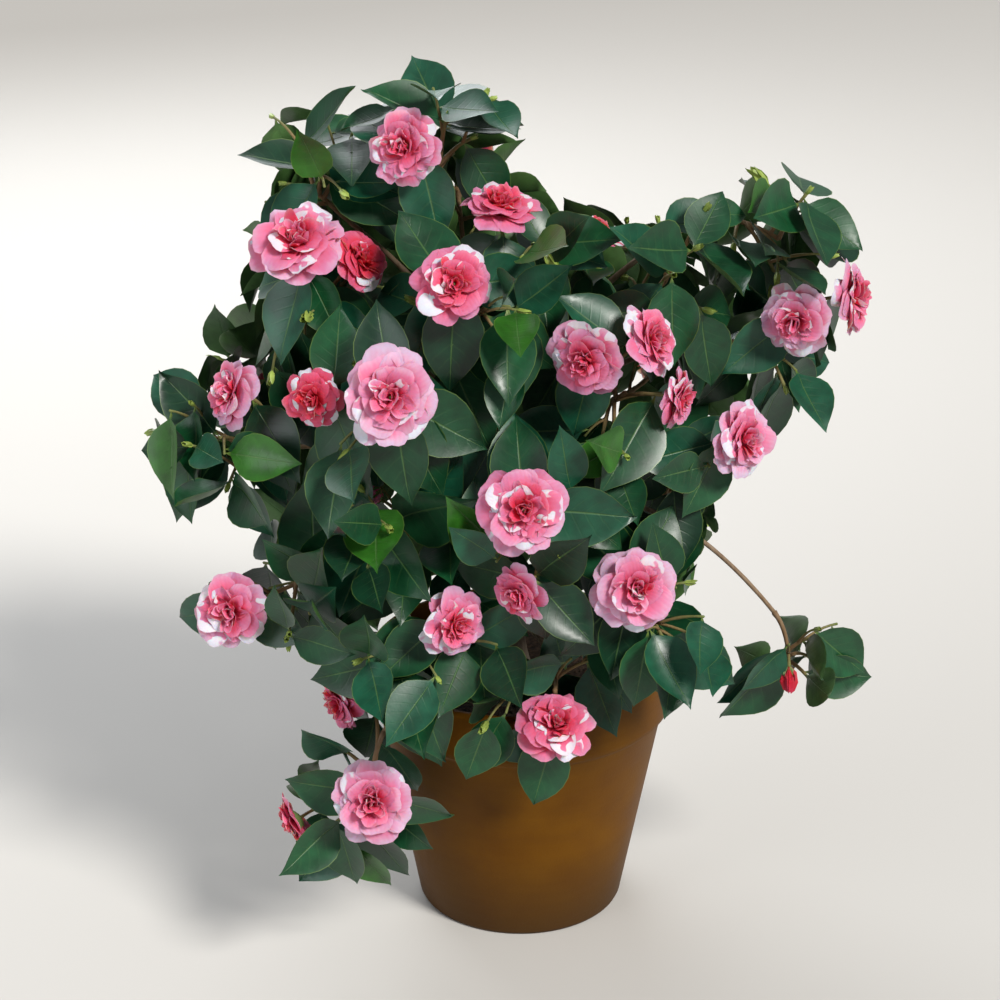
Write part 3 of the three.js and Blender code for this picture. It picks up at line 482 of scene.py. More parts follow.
# %% Tests between leaves
# A leaf's corners, as shares of its length and width, and the points tried along its edge and midrib.
LEAF_CORNERS = np.array([
    (0.08, 0.12), (0.3, 0.45), (0.68, 0.41), (1, 0), (0.68, -0.41), (0.3, -0.45), (0.08, -0.12),
])
next_corners = np.roll(LEAF_CORNERS, -1, axis=0)
edge_probes = [
    corner + (after - corner) * share
    for corner, after in zip(LEAF_CORNERS, next_corners)
    for share in (0, 0.2, 0.4, 0.6, 0.8)
]
PROBES = np.array(edge_probes + [(0.14 + 0.06 * k, 0) for k in range(15)])
print("points tried on each leaf", len(PROBES))

# The same outline as a rule: the widest half, how fast it widens and narrows, and where the stalk ends.
WIDEST_HALF = 0.45
WIDENS = 3.4
NARROWS = 3
STALK_ENDS = 0.07
WOOD_NEAR = 1.15
placed = []


def leaf_points(leaf, along, across, out=0.0):
    """Places on a leaf, from shares of its length and width and a distance out of its face."""
    droop = leaf.bend * leaf.length * along**2
    return (
        leaf.root
        + np.multiply.outer(along * leaf.length, leaf.ahead)
        + np.multiply.outer(across * leaf.width, leaf.side)
        + np.multiply.outer(out - droop, leaf.face)
    )


def hits(root, ahead, side, face, length, width, bend, points, room):
    """Whether points lie in a leaf's outline, near its face. The leaf's own values may be stacked."""
    offset = points - root
    along = (offset * ahead).sum(-1) / length
    across = abs((offset * side).sum(-1))
    widening = np.minimum(1, WIDENS * along)
    half = WIDEST_HALF * width * np.minimum(widening, NARROWS * np.maximum(0, 1 - along))
    arch = bend * length
    out = (offset * face).sum(-1) + arch * along**2
    within = (along >= STALK_ENDS) & (along <= 1 + room / length) & (across <= half + room)
    return within & (out < room) & (out > -room - arch * np.maximum(0, along - along**2))


def own_values(leaf):
    return leaf.root, leaf.ahead, leaf.side, leaf.face, leaf.length, leaf.width, leaf.bend


def crosses(leaf):
    """Whether a leaf cuts a leaf already placed, or is cut by it."""
    if not placed:
        return False
    apart = np.linalg.norm(np.array([other.root for other in placed]) - leaf.root, axis=1)
    near = [other for other, gap in zip(placed, apart) if gap < leaf.length + other.length]
    if not near:
        return False
    theirs = np.vstack([other.probes for other in near])
    if hits(*own_values(leaf), theirs, LEAF_ROOM).any():
        return True
    stacked = [np.array(values)[:, None] for values in zip(*map(own_values, near))]
    return bool(hits(*stacked, leaf.probes[None], LEAF_ROOM).any())


def leaf_fits(mass, leaf):
    if not (inside_space(mass, leaf.probes, -LACING) & clear_of_pot(leaf.probes)).all():
        return False
    if not inside_outline(leaf.probes).all():
        return False
    if covers_bloom(leaf.probes):
        return False
    close = np.linalg.norm(wood.at - leaf.root, axis=1) < WOOD_NEAR * leaf.length
    if hits(*own_values(leaf), wood.at[close], wood.radius[close] + WOOD_ROOM).any():
        return False
    return not crosses(leaf)


# %% [markdown]
# ## Growing leaves
# A camellia's leaf stands off its twig, droops with its own weight, and turns its glossy face up and
# outward to the light. Each leaf gets three directions of its own: along the midrib, across it, and out
# of its face. One that doesn't fit is turned about its twig, made a little smaller, and at last left
# out.

# %% One leaf
def make_leaf(root, twig_ahead, turn, spread, draws, size):
    """A leaf on a twig, from its turn about the twig, its spread off it, four draws and its size."""
    droop, roll, length, bend = draws
    round_twig = turned(square_to(twig_ahead), turn)
    ahead = round_twig * math.sin(spread) + twig_ahead * math.cos(spread)
    ahead = unit(ahead - UP * (LEAST_DROOP + MORE_DROOP * droop) * (DROOP_ENDS_AT - ahead[2]))
    frontward = LIGHT_FROM_FRONT if root[1] < FRONT_HALF else -LIGHT_FROM_FRONT
    light = unit((root - CROWN_MIDDLE) * CROWN_FLATNESS) + UP * LIGHT_FROM_ABOVE + FRONT * frontward
    flat = unit(light - ahead * (light @ ahead))
    angle = LEAF_ROLL * (roll - 0.5)
    face = unit(flat * math.cos(angle) + np.cross(ahead, flat) * math.sin(angle))
    length = size * (LEAF_SHORTEST + (LEAF_LONGEST - LEAF_SHORTEST) * length)
    leaf = SimpleNamespace(root=root, ahead=ahead, face=face, side=unit(np.cross(face, ahead)))
    leaf.length, leaf.width, leaf.bend = length, length * LEAF_WIDTH_SHARE, LEAST_BEND + MORE_BEND * bend
    leaf.probes = leaf_points(leaf, PROBES[:, 0], PROBES[:, 1])
    return leaf


def place_leaf(mass, twig, share, turn, spread, draw, size=1.0):
    """Puts a leaf on a twig if one of its tries fits, each turned on and a little smaller."""
    draws = [draw() for _ in range(4)]
    root, ahead = twig.curve.at(share), twig.curve.ahead(share)
    for attempt in range(LEAF_TRIES):
        shrunk = size * (1 - TRY_SHRINK * attempt)
        leaf = make_leaf(root, ahead, turn + TRY_TURN * attempt, spread, draws, shrunk)
        if leaf_fits(mass, leaf):
            placed.append(leaf)
            twig.leaves.append(leaf)
            return


# %% Twigs of a mass
TWIG_PROBES = (0.35, 0.5, 0.65, 0.8, 0.9, 1)
TWIG_CUTS = (1, 0.85, 0.7, 0.55)
STEM_SHARE_WITH_TWIGS = 0.5
LEAST_TWIG_REACH = 0.8
MORE_TWIG_REACH = 0.5


def twig_fits(mass, curve):
    points = np.array([curve.at(share) for share in TWIG_PROBES])
    gaps = np.linalg.norm(points[:, None] - wood.at, axis=2)
    room = np.where(wood.owner == mass.number, 0, wood.radius + TWIG_ROOT_RADIUS + TWIG_ROOM)
    to_blooms = np.linalg.norm(points[:, None] - bloom_at, axis=2)
    clear = (gaps > room).all() and (to_blooms > BLOOM_ROOM * bloom_radius).all()
    room = inside_space(mass, points, TWIG_GAP_AT_WALL) & clear_of_pot(points) & inside_outline(points)
    return clear and room.all()


def try_twig(mass, start, heading, reach):
    """A twig at its full reach, or shortened until it fits, or None."""
    for share in TWIG_CUTS:
        curve = arching(start, start + heading * reach * share, TWIG_LIFT)
        if twig_fits(mass, curve):
            return SimpleNamespace(curve=curve, leaves=[], bloom=None)
    return None


def grow_twigs(mass):
    """Twigs fan out from the outer half of the stem, each turned on by the golden angle."""
    draw = seeded(mass.seed)
    sides = square_to(mass.outward)
    for i in range(TWIGS_PER_MASS):
        lean = math.acos(1 - TWIG_WIDEST_LEAN * (i + 0.4) / TWIGS_PER_MASS)
        turn = GOLDEN_ANGLE * i + FULL_TURN * draw()
        reach = mass.reach * TWIG_SHARE_OF_REACH * (LEAST_TWIG_REACH + MORE_TWIG_REACH * draw())
        start = mass.stem.at(1 - STEM_SHARE_WITH_TWIGS * i / TWIGS_PER_MASS)
        heading = mass.outward * math.cos(lean) + turned(sides, turn) * math.sin(lean)
        twig = try_twig(mass, start, heading, reach)
        if twig:
            mass.twigs.append(twig)


# %% Leaves of a mass
ROOM_BEHIND_BLOOM = 7
ROOM_AT_TIP = 2
FIRST_SPACING = 0.7
NEAREST_TO_STEM = 0.2
SPREAD_VARIES = 0.2


def grow_leaves(mass):
    """A cluster of leaves at each twig's tip and single ones behind, up to the twig's and mass's counts."""
    for number, twig in enumerate(mass.twigs):
        draw = seeded(mass.seed + SEED_PER_TWIG * (number + 1))
        length = twig.curve.span()
        room = BLOOM_NECK_SHARE * twig.bloom.radius + ROOM_BEHIND_BLOOM if twig.bloom else ROOM_AT_TIP
        behind = max(0, math.floor((length - room) / LEAF_SPACING) - 1)
        first = FULL_TURN * draw()
        for i in range(LEAVES_AT_TIP + behind):
            in_mass = sum(len(other.leaves) for other in mass.twigs)
            if len(twig.leaves) >= MOST_LEAVES or in_mass >= mass.most:
                break
            back = room + TIP_SPACING * min(i, LEAVES_AT_TIP)
            back += LEAF_SPACING * max(0, i - LEAVES_AT_TIP + FIRST_SPACING)
            spread = (LEAF_SPREAD_AT_BLOOM if twig.bloom else LEAF_SPREAD) + SPREAD_VARIES * (draw() - 0.5)
            share = max(NEAREST_TO_STEM, 1 - back / length)
            place_leaf(mass, twig, share, first + GOLDEN_ANGLE * i, spread, draw)
        if not twig.bloom and len(twig.leaves) < FEWEST_LEAVES:
            del placed[len(placed) - len(twig.leaves):]
            twig.leaves = []
    mass.twigs = [twig for twig in mass.twigs if twig.bloom or twig.leaves]


for mass in masses:
    own = [bloom for bloom in blooms if bloom.mass is mass]
    mass.twigs = [SimpleNamespace(curve=bloom.twig, leaves=[], bloom=bloom) for bloom in own]
    grow_twigs(mass)
for mass in masses:
    for twig in mass.twigs:
        add_wood(twig.curve, TWIG_ROOT_RADIUS, mass.number)
for mass in masses:
    grow_leaves(mass)
print("leaves that the solids have", len(placed))

# %% [markdown]
# ## Finer growth
# The solids stop at their main leaves. Here each mass goes on by the same rule: short side twigs leave
# its twigs and stem, and each bears up to four slightly smaller leaves wherever there is still room.
# Nothing grows past the mass's reach, so the crown keeps its outline and its gaps.

# %% Side twigs
SIDE_TWIGS = 22
SIDE_TWIG_SHORTEST = 24
SIDE_TWIG_LONGEST = 58
SIDE_TWIG_RADIUS = 1.6
SIDE_TWIG_LIFT = 0.15
SIDE_TWIGS_FROM = 0.3
SIDE_TWIGS_OVER = 0.65
LEAST_LEAN = 0.5
MORE_LEAN = 0.7
LEAVES_ON_SIDE_TWIG = 4
SIDE_TIP_SPACING = 2
SIDE_LEAF_SPACING = 9
NEAREST_TO_PARENT = 0.3
SIDE_LEAF_SMALLEST = 0.74
SIDE_LEAF_LARGEST = 0.98


def grow_side_twig(mass, parent, draw):
    """A short twig with up to four leaves, given up if there is no room for it or for any leaf."""
    share = SIDE_TWIGS_FROM + SIDE_TWIGS_OVER * draw()
    ahead = parent.ahead(share)
    turn = FULL_TURN * draw()
    lean = LEAST_LEAN + MORE_LEAN * draw()
    around = turned(square_to(ahead), turn)
    heading = unit(ahead * math.cos(lean) + around * math.sin(lean) + UP * SIDE_TWIG_LIFT)
    reach = SIDE_TWIG_SHORTEST + (SIDE_TWIG_LONGEST - SIDE_TWIG_SHORTEST) * draw()
    twig = try_twig(mass, parent.at(share), heading, reach)
    if not twig:
        return
    before = wood.at, wood.radius, wood.owner
    add_wood(twig.curve, SIDE_TWIG_RADIUS, mass.number)
    first = FULL_TURN * draw()
    for i in range(LEAVES_ON_SIDE_TWIG):
        size = SIDE_LEAF_SMALLEST + (SIDE_LEAF_LARGEST - SIDE_LEAF_SMALLEST) * draw()
        back = SIDE_TIP_SPACING + SIDE_LEAF_SPACING * i * draw()
        share = max(NEAREST_TO_PARENT, 1 - back / twig.curve.span())
        place_leaf(mass, twig, share, first + GOLDEN_ANGLE * i, LEAF_SPREAD, draw, size)
    if twig.leaves:
        mass.side_twigs.append(twig)
    else:
        wood.at, wood.radius, wood.owner = before


for mass in masses:
    mass.side_twigs = []
    draw = seeded(mass.seed + SIDE_TWIG_SEED)
    parents = [twig.curve for twig in mass.twigs] + [mass.stem]
    for i in range(SIDE_TWIGS):
        grow_side_twig(mass, parents[i % len(parents)], draw)
print("leaves with the side twigs'", len(placed))
print("side twigs", sum(len(mass.side_twigs) for mass in masses))

# %% [markdown]
# ## Shader maths as sums
# A finish is a net of nodes. Written node by node it's hard to read, so one small class wraps a socket:
# adding or multiplying two of them adds the Math node that does it. Every other kind of node comes from
# one method.


# %% Finishes and their values
class Value:
    """One output of a node. Sums, differences and products of values add their Math nodes."""

    def __init__(self, finish, socket):
        self.finish = finish
        self.socket = socket

    def math(self, operation, a, b=0.0):
        return self.finish.node("ShaderNodeMath", {"operation": operation}, {0: a, 1: b})

    def __add__(self, other):
        return self.math("ADD", self, other)

    def __sub__(self, other):
        return self.math("SUBTRACT", self, other)

    def __rsub__(self, other):
        return self.math("SUBTRACT", other, self)

    def __mul__(self, other):
        return self.math("MULTIPLY", self, other)

    def __abs__(self):
        return self.math("ABSOLUTE", self)

    __radd__ = __add__
    __rmul__ = __mul__

    def sine(self):
        return self.math("SINE", self)

    def between(self, low, high):
        """0 at low, 1 at high, and held there beyond."""
        return self.finish.node("ShaderNodeMapRange", {}, {"Value": self, "From Min": low, "From Max": high})


class Finish:
    """A material on Object coordinates or on a piece's own map."""

    def __init__(self, name, **constants):
        self.material = bpy.data.materials.new(name)
        self.material.use_nodes = True
        self.tree = self.material.node_tree
        self.shader = self.tree.nodes["Principled BSDF"]
        for socket, value in constants.items():
            self.shader.inputs[socket.replace("_", " ")].default_value = value

    def node(self, kind, settings, sockets, output=0):
        made = self.tree.nodes.new(kind)
        for name, value in settings.items():
            if name == "stops":
                self.set_stops(made.color_ramp, value)
            else:
                setattr(made, name, value)
        for name, value in sockets.items():
            if isinstance(value, Value):
                self.tree.links.new(value.socket, made.inputs[name])
            else:
                made.inputs[name].default_value = value
        return Value(self, made.outputs[output])

    def set_stops(self, ramp, stops):
        while len(ramp.elements) < len(stops):
            ramp.elements.new(0.5)
        for element, (position, colour) in zip(ramp.elements, stops):
            element.position = position
            element.color = (*colour, 1)

    def object_place(self):
        return self.node("ShaderNodeTexCoord", {}, {}, "Object")

    def sheet_place(self):
        """Along and across, from the map that leaves and petals bring."""
        place = self.node("ShaderNodeUVMap", {"uv_map": "sheet"}, {}, "UV")
        along = self.node("ShaderNodeSeparateXYZ", {}, {0: place}, "X")
        across = self.node("ShaderNodeSeparateXYZ", {}, {0: place}, "Y")
        return along, across * 2 - 1

    def attribute(self, name):
        return self.node("ShaderNodeAttribute", {"attribute_name": name}, {}, "Fac")

    def clouds(self, size, detail=2.0, place=None):
        """Soft noise with lumps of about that many metres."""
        sockets = {"Vector": place or self.object_place(), "Scale": 1 / size, "Detail": detail}
        return self.node("ShaderNodeTexNoise", {}, sockets, "Fac")

    def blend(self, share, a, b):
        a, b = (c if isinstance(c, Value) else (*c, 1) for c in (a, b))
        return self.node("ShaderNodeMix", {"data_type": "RGBA"}, {0: share, 6: a, 7: b}, 2)

    def ramp(self, value, stops):
        return self.node("ShaderNodeValToRGB", {"stops": stops}, {"Fac": value}, "Color")

    def wear(self, height, distance, strength=1.0):
        """The normal of a surface with this relief."""
        sockets = {"Height": height, "Distance": distance, "Strength": strength}
        return self.node("ShaderNodeBump", {}, sockets, "Normal")

    def feed(self, **values):
        for socket, value in values.items():
            self.tree.links.new(value.socket, self.shader.inputs[socket.replace("_", " ")])
        return self.material


print("finish helpers ready")

# %% [markdown]
# ## Leaf finish
# A camellia's leaf is thick and glossy: deep green with a bluish sheen above, a fine pale midrib, faint
# side veins, and a thin pale line along the edge. Below it is dull and yellow-green. The lines follow
# the leaf, so they read its own map, and the relief of the veins goes into Bump rather than into more
# faces.

# %% Greens
LEAF_TINTS = {
    "leaf_deep": (0.0025, 0.0450, 0.0150),
    "leaf_mid": (0.0035, 0.0590, 0.0180),
    "leaf_sea": (0.0040, 0.0640, 0.0310),
    "leaf_dark": (0.0020, 0.0300, 0.0120),
    "leaf_fresh": (0.0200, 0.1050, 0.0080),
}
UNDERSIDE = (0.045, 0.110, 0.026)
EDGE_LINE = (0.150, 0.240, 0.040)
MIDRIB_LINE = (0.075, 0.165, 0.045)
STALK_GREEN = (0.130, 0.200, 0.035)
VEINS_A_SIDE = 8
VEIN_SLANT = 0.2
DARK_MOTTLE = 0.7
LIGHT_MOTTLE = 1.35
LEAF_GLOSS = 0.32
UNDERSIDE_GLOSS = 0.45


def leaf_finish(name, colour, gloss, line_strength):
    """Mottled green with a midrib, side veins and an edge line, each as strong as line_strength says."""
    finish = Finish(name, Specular_IOR_Level=0.42, Coat_Weight=0.22, Coat_Roughness=0.24)
    along, across = finish.sheet_place()
    aside = abs(across)
    mottle = finish.clouds(0.018, 3)
    fine = finish.clouds(0.003, 2)
    midrib = 1 - aside.between(0.01, 0.045)
    edge = aside.between(0.965, 0.99)
    vein = ((along - aside * VEIN_SLANT) * (FULL_TURN * VEINS_A_SIDE)).sine().between(0.8, 1) * (1 - aside)
    dark = tuple(DARK_MOTTLE * part for part in colour)
    light = tuple(LIGHT_MOTTLE * part for part in colour)
    green = finish.blend(mottle.between(0.3, 0.7), dark, light)
    green = finish.blend(vein * (0.1 * line_strength), green, MIDRIB_LINE)
    green = finish.blend(midrib * (0.65 * line_strength), green, MIDRIB_LINE)
    green = finish.blend(edge * (0.55 * line_strength), green, EDGE_LINE)
    green = finish.blend(1 - along.between(0.05, 0.1), green, STALK_GREEN)
    relief = fine * 0.2 + mottle * 0.5 - vein * 0.3 - midrib * 1.1
    return finish.feed(
        Base_Color=green,
        Roughness=gloss + mottle * 0.16 + fine * 0.06,
        Normal=finish.wear(relief, 0.0008, 0.5),
    )


leaf_finishes = [leaf_finish(name, colour, LEAF_GLOSS, 1) for name, colour in LEAF_TINTS.items()]
leaf_finishes.append(leaf_finish("leaf_underside", UNDERSIDE, UNDERSIDE_GLOSS, 0.5))
UNDERSIDE_SLOT = len(leaf_finishes) - 1
print("leaf finishes", len(leaf_finishes))

# %% [markdown]
# ## Sheets that become leaves and petals
# Leaves and petals are thin sheets. Modelling each by hand would take days, so one small sheet is made
# with a grid, a second face is laid under it, and the two are welded along the edge. Each sheet is
# drawn together at its root, and a pointed one at its tip too. Copies of it are then bent to shape, and
# all the copies of a mass are joined into one piece, which is quicker than hundreds of small ones.


# %% Make a sheet
SAME_PLACE = 1e-5


def make_sheet(stations, columns, pointed_tip):
    """A sheet in along (0 to 1), across (-1 to 1) and depth (0 above, 1 below)."""
    rows = len(stations) - 1
    bm = bmesh.new()
    bmesh.ops.create_grid(bm, x_segments=rows, y_segments=columns, size=0.5)
    place = bm.loops.layers.uv.new("sheet")
    for vert in bm.verts:
        vert.co.x = stations[round((vert.co.x + 0.5) * rows)]
        vert.co.y *= 2
    for face in bm.faces:
        for loop in face.loops:
            loop[place].uv = (loop.vert.co.x, loop.vert.co.y / 2 + 0.5)
    copied = bmesh.ops.duplicate(bm, geom=bm.faces[:])["geom"]
    below = [face for face in copied if isinstance(face, bmesh.types.BMFace)]
    bmesh.ops.reverse_faces(bm, faces=below)
    for face in below:
        face.material_index = 1
        for vert in face.verts:
            if not vert.is_boundary:
                vert.co.z = -1
    bmesh.ops.remove_doubles(bm, verts=bm.verts[:], dist=SAME_PLACE)
    for end in [0, 1] if pointed_tip else [0]:
        verts = [vert for vert in bm.verts if abs(vert.co.x - end) < SAME_PLACE]
        bmesh.ops.pointmerge(bm, verts=verts, merge_co=(end, 0, 0))
    bm.verts.index_update()
    sheet = SimpleNamespace()
    points = np.array([vert.co for vert in bm.verts])
    sheet.along, sheet.across, sheet.depth = points[:, 0], points[:, 1], -points[:, 2]
    sheet.faces = [[vert.index for vert in face.verts] for face in bm.faces]
    sheet.below = np.array([face.material_index for face in bm.faces])
    sheet.places = [np.array([loop[place].uv for loop in face.loops]) for face in bm.faces]
    bm.free()
    return sheet


LEAF_STATIONS = (0, 0.05, 0.1, 0.17, 0.26, 0.37, 0.49, 0.61, 0.72, 0.82, 0.9, 0.96, 1)
PETAL_STATIONS = (0, 0.35, 0.7, 1)
SCALE_STATIONS = (0, 0.3, 0.6, 0.85, 1)
leaf_sheet = make_sheet(LEAF_STATIONS, 2, True)
petal_sheet = make_sheet(PETAL_STATIONS, 8, False)
scale_sheet = make_sheet(SCALE_STATIONS, 2, True)
for title, sheet in (("leaf", leaf_sheet), ("petal", petal_sheet), ("scale", scale_sheet)):
    print(title, "sheet has", len(sheet.faces), "faces")


# %% Put a mesh in the scene
def in_scene(name, data):
    made = bpy.data.objects.new(name, data)
    bpy.context.scene.collection.objects.link(made)
    return made


def show(mesh):
    """Puts a mesh in the scene as a piece of the shrub, under the mesh's own name."""
    mesh.update()
    piece = in_scene(mesh.name, mesh)
    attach(piece, "root")
    return piece


def mesh_from(name, bm, material, smooth=True):
    """Turns a finished bmesh into a mesh of one material."""
    for face in bm.faces:
        face.smooth = smooth
    mesh = bpy.data.meshes.new(name)
    bm.to_mesh(mesh)
    bm.free()
    mesh.materials.append(material)
    return mesh


# %% Join copies of sheets
# On the map for baking, each copy has a square of its own, with its upper face in the lower half.
BAKE_SIZE = (0.94, 0.46)
BAKE_CORNER = (0.03, 0.02)
BAKE_UNDERSIDE_UP = (0, 0.5)
SHEET_SHARP = math.radians(75)


class Heap:
    """Bent copies of sheets, gathered and joined into one piece."""

    def __init__(self):
        self.points, self.faces, self.slots, self.places, self.cells = [], [], [], [], []
        self.marks = {"tone": [], "white": []}
        self.count = 0

    def add(self, sheet, points, above, below, tone=0.0, white=0.0):
        corner_of_copy = np.array((len(self.points), 0)) + BAKE_CORNER
        self.points.append(points)
        self.marks["tone"].append(np.full(len(points), tone))
        self.marks["white"].append(np.full(len(points), white))
        for corners, under, places in zip(sheet.faces, sheet.below, sheet.places):
            self.faces.append([corner + self.count for corner in corners])
            self.slots.append(below if under else above)
            self.places.append(places)
            self.cells.append(places * BAKE_SIZE + corner_of_copy + under * np.array(BAKE_UNDERSIDE_UP))
        self.count += len(points)

    def join(self, name, finishes):
        mesh = bpy.data.meshes.new(name)
        mesh.from_pydata(np.vstack(self.points) * MM, [], self.faces)
        mesh.uv_layers.new(name="sheet").uv.foreach_set("vector", np.vstack(self.places).ravel())
        across = math.ceil(math.sqrt(len(self.points)))
        cells = np.vstack(self.cells)
        copy = np.floor(cells[:, 0])
        cells[:, 0] += copy % across - copy
        cells[:, 1] += copy // across
        mesh.uv_layers.new(name="OFBake").uv.foreach_set("vector", (cells / across).ravel())
        for mark, values in self.marks.items():
            mesh.attributes.new(mark, "FLOAT", "POINT").data.foreach_set("value", np.concatenate(values))
        for finish in finishes:
            mesh.materials.append(finish)
        mesh.polygons.foreach_set("material_index", self.slots)
        mesh.polygons.foreach_set("use_smooth", [True] * len(self.faces))
        mesh.set_sharp_from_angle(angle=SHEET_SHARP)
        return show(mesh)


# %% [markdown]
# ## The blades
# Each leaf copy follows the curve that its own numbers give, folded along the midrib, with a narrow
# stalk, a broad middle and a drawn-out tip that curls under. The tints are dealt out leaf by leaf, and
# now and then a young leaf on a side twig is a fresher green.

# %% Bend and join the leaves
HALF_WIDTHS = (0, 0.02, 0.05, 0.24, 0.4, 0.485, 0.5, 0.455, 0.36, 0.23, 0.11, 0.035, 0)
BLADE_THICKNESS = 0.9
NECK_THICKNESS = 1.3
STALK_THICKNESS = 2.2
THICK_STATIONS = (0, 0.05, 0.12, 1)
THICKNESSES = (STALK_THICKNESS, STALK_THICKNESS, NECK_THICKNESS, BLADE_THICKNESS)
BROADENS_FROM = 0.06
BROADENS_OVER = 0.2
LEAST_FOLD = 0.28
MORE_FOLD = 0.3
LEAST_WAVE = 0.02
MORE_WAVE = 0.03
EDGE_WAVES = 7
LEAST_TIP_DROP = 0.05
MORE_TIP_DROP = 0.12
TIP_FROM = 0.75
TINT_DEAL = (0, 0, 1, 1, 2, 2, 3)
FRESH_TINT = 4
FRESH_CHANCE = 0.09


def blade_points(leaf, draw):
    """The sheet's points on one leaf: folded at the midrib, wavy at the edge, the tip let down."""
    sheet = leaf_sheet
    half = np.interp(sheet.along, LEAF_STATIONS, HALF_WIDTHS)
    across = sheet.across * half
    fold = LEAST_FOLD + MORE_FOLD * draw()
    wave = LEAST_WAVE + MORE_WAVE * draw()
    turn = FULL_TURN * draw()
    tip_drop = LEAST_TIP_DROP + MORE_TIP_DROP * draw()
    middle = np.clip((sheet.along - BROADENS_FROM) / BROADENS_OVER, 0, 1)
    out = (fold * (abs(across) - 0.5 * half) * middle) * leaf.width
    out += wave * leaf.width * abs(sheet.across) * np.sin(EDGE_WAVES * sheet.along + turn) * middle
    out -= tip_drop * leaf.length * np.clip(sheet.along - TIP_FROM, 0, 1) ** 2 * 4
    thick = np.interp(sheet.along, THICK_STATIONS, THICKNESSES)
    return leaf_points(leaf, sheet.along, across, out - thick * sheet.depth)


def tint_of(draw, side_twig):
    """Now and then a side twig's leaf is fresh green; the other tints are dealt out by chance."""
    chance = draw()
    if side_twig and chance < FRESH_CHANCE:
        return FRESH_TINT
    return TINT_DEAL[int(len(TINT_DEAL) * draw())]


for mass in masses:
    heap = Heap()
    draw = seeded(mass.seed + BLADE_SEED)
    for twig in mass.twigs + mass.side_twigs:
        for leaf in twig.leaves:
            tint = tint_of(draw, twig in mass.side_twigs)
            heap.add(leaf_sheet, blade_points(leaf, draw), tint, UNDERSIDE_SLOT)
    mass.blades = heap.join("blades_" + mass.name, leaf_finishes)
    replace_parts(mass.blades, "leaves_" + mass.name)
print("blades", len(placed), "faces", sum(len(mass.blades.data.polygons) for mass in masses))

# %% [markdown]
# ## Bark
# The trunk and boughs of a camellia are smooth and grey-brown with fine lengthwise cracks, and young
# twigs are tan, then green. Age is written on each point of the wood, and one finish reads it.

# %% Bark finish
OLD_BARK = (0.150, 0.105, 0.075)
OLD_BARK_LIGHT = (0.300, 0.240, 0.185)
BARK_PATCH = (0.36, 0.33, 0.26)
TAN_TWIG = (0.230, 0.130, 0.055)
TAN_TWIG_CRACK = (0.33, 0.24, 0.13)
GREEN_TWIG = (0.120, 0.170, 0.040)


def bark_finish():
    finish = Finish("bark", Specular_IOR_Level=0.35)
    place = finish.object_place()
    tall = finish.node("ShaderNodeMapping", {}, {"Vector": place, "Scale": (1, 1, 0.2)})
    cracks = finish.clouds(0.004, 4, tall)
    patches = finish.clouds(0.03, 3)
    young = finish.attribute("young")
    old = finish.blend(cracks.between(0.35, 0.7), OLD_BARK, OLD_BARK_LIGHT)
    old = finish.blend(patches.between(0.5, 0.75) * 0.5, old, BARK_PATCH)
    twig = finish.blend(young.between(0.6, 1), TAN_TWIG, GREEN_TWIG)
    twig = finish.blend(cracks.between(0.3, 0.8) * 0.35, twig, TAN_TWIG_CRACK)
    return finish.feed(
        Base_Color=finish.blend(young.between(0.1, 0.6), old, twig),
        Roughness=0.5 + cracks * 0.4,
        Normal=finish.wear(cracks + patches * 0.5, 0.0012, 0.7),
    )


bark = bark_finish()
print("finish", bark.name)


# %% [markdown]
# ## Tubes for the wood
# A limb is a tapering tube along its curve. A curve object with a bevel would do, but a grid rolled
# into a tube takes any radius at any place, so it can carry the root flare, swollen nodes and the
# relief of the bark. The grid's two long sides are welded. The tube is closed flat at its start and
# rounded at its end, where the next one goes on from it.


# %% Roll a grid into a tube
END_SHARE = 0.8
WELD = 1e-6


def rings_along(curve, rings):
    """Each ring's share of the curve, its middle, and two directions that turn no more than the curve."""
    shares = [i / rings for i in range(rings + 1)]
    side, over = square_to(curve.ahead(0))
    frames = []
    for share in shares:
        ahead = curve.ahead(share)
        side = unit(side - ahead * (side @ ahead))
        frames.append((share, curve.at(share), side, np.cross(side, ahead)))
    return frames


def roll_tube(bm, curve, sides, rings, radius_at, young_at):
    """A tube with a flat start, and a rounded end that fills the corner where the next tube goes on."""
    frames = rings_along(curve, rings)
    share, middle, side, over = frames[-1]
    end = middle + curve.ahead(1) * END_SHARE * radius_at(share, middle, side)
    frames = [frames[0]] + frames + [(share, end, side, over)]
    last = len(frames) - 1
    young = bm.verts.layers.float.get("young") or bm.verts.layers.float.new("young")
    made = bmesh.ops.create_grid(bm, x_segments=last, y_segments=sides, size=0.5)["verts"]
    for vert in made:
        ring = round((vert.co.x + 0.5) * last)
        turn = round((vert.co.y + 0.5) * sides) % sides * FULL_TURN / sides
        share, middle, side, over = frames[ring]
        around = side * math.cos(turn) - over * math.sin(turn)
        radius = 0 if ring in (0, last) else radius_at(share, middle, around)
        vert.co = Vector((middle + around * radius) * MM)
        vert[young] = young_at(share)
    bmesh.ops.remove_doubles(bm, verts=made, dist=WELD)


def show_wood(name, bm):
    bmesh.ops.recalc_face_normals(bm, faces=bm.faces[:])
    return show(mesh_from(name, bm, bark))


# %% Trunk and boughs
# Fine ridges run up the wood and broad knots swell it. Thin wood has less of both.
RIDGE_SCALE = (0.35, 0.35, 0.04)
RIDGE_HEIGHT = 0.35
KNOT_SCALE = 0.03
KNOT_START = Vector((7, 3, 1))
KNOT_HEIGHT = 0.5
FULL_RELIEF_RADIUS = 5
FLARE_ENDS = 3 * ROOT_FLARE_HEIGHT

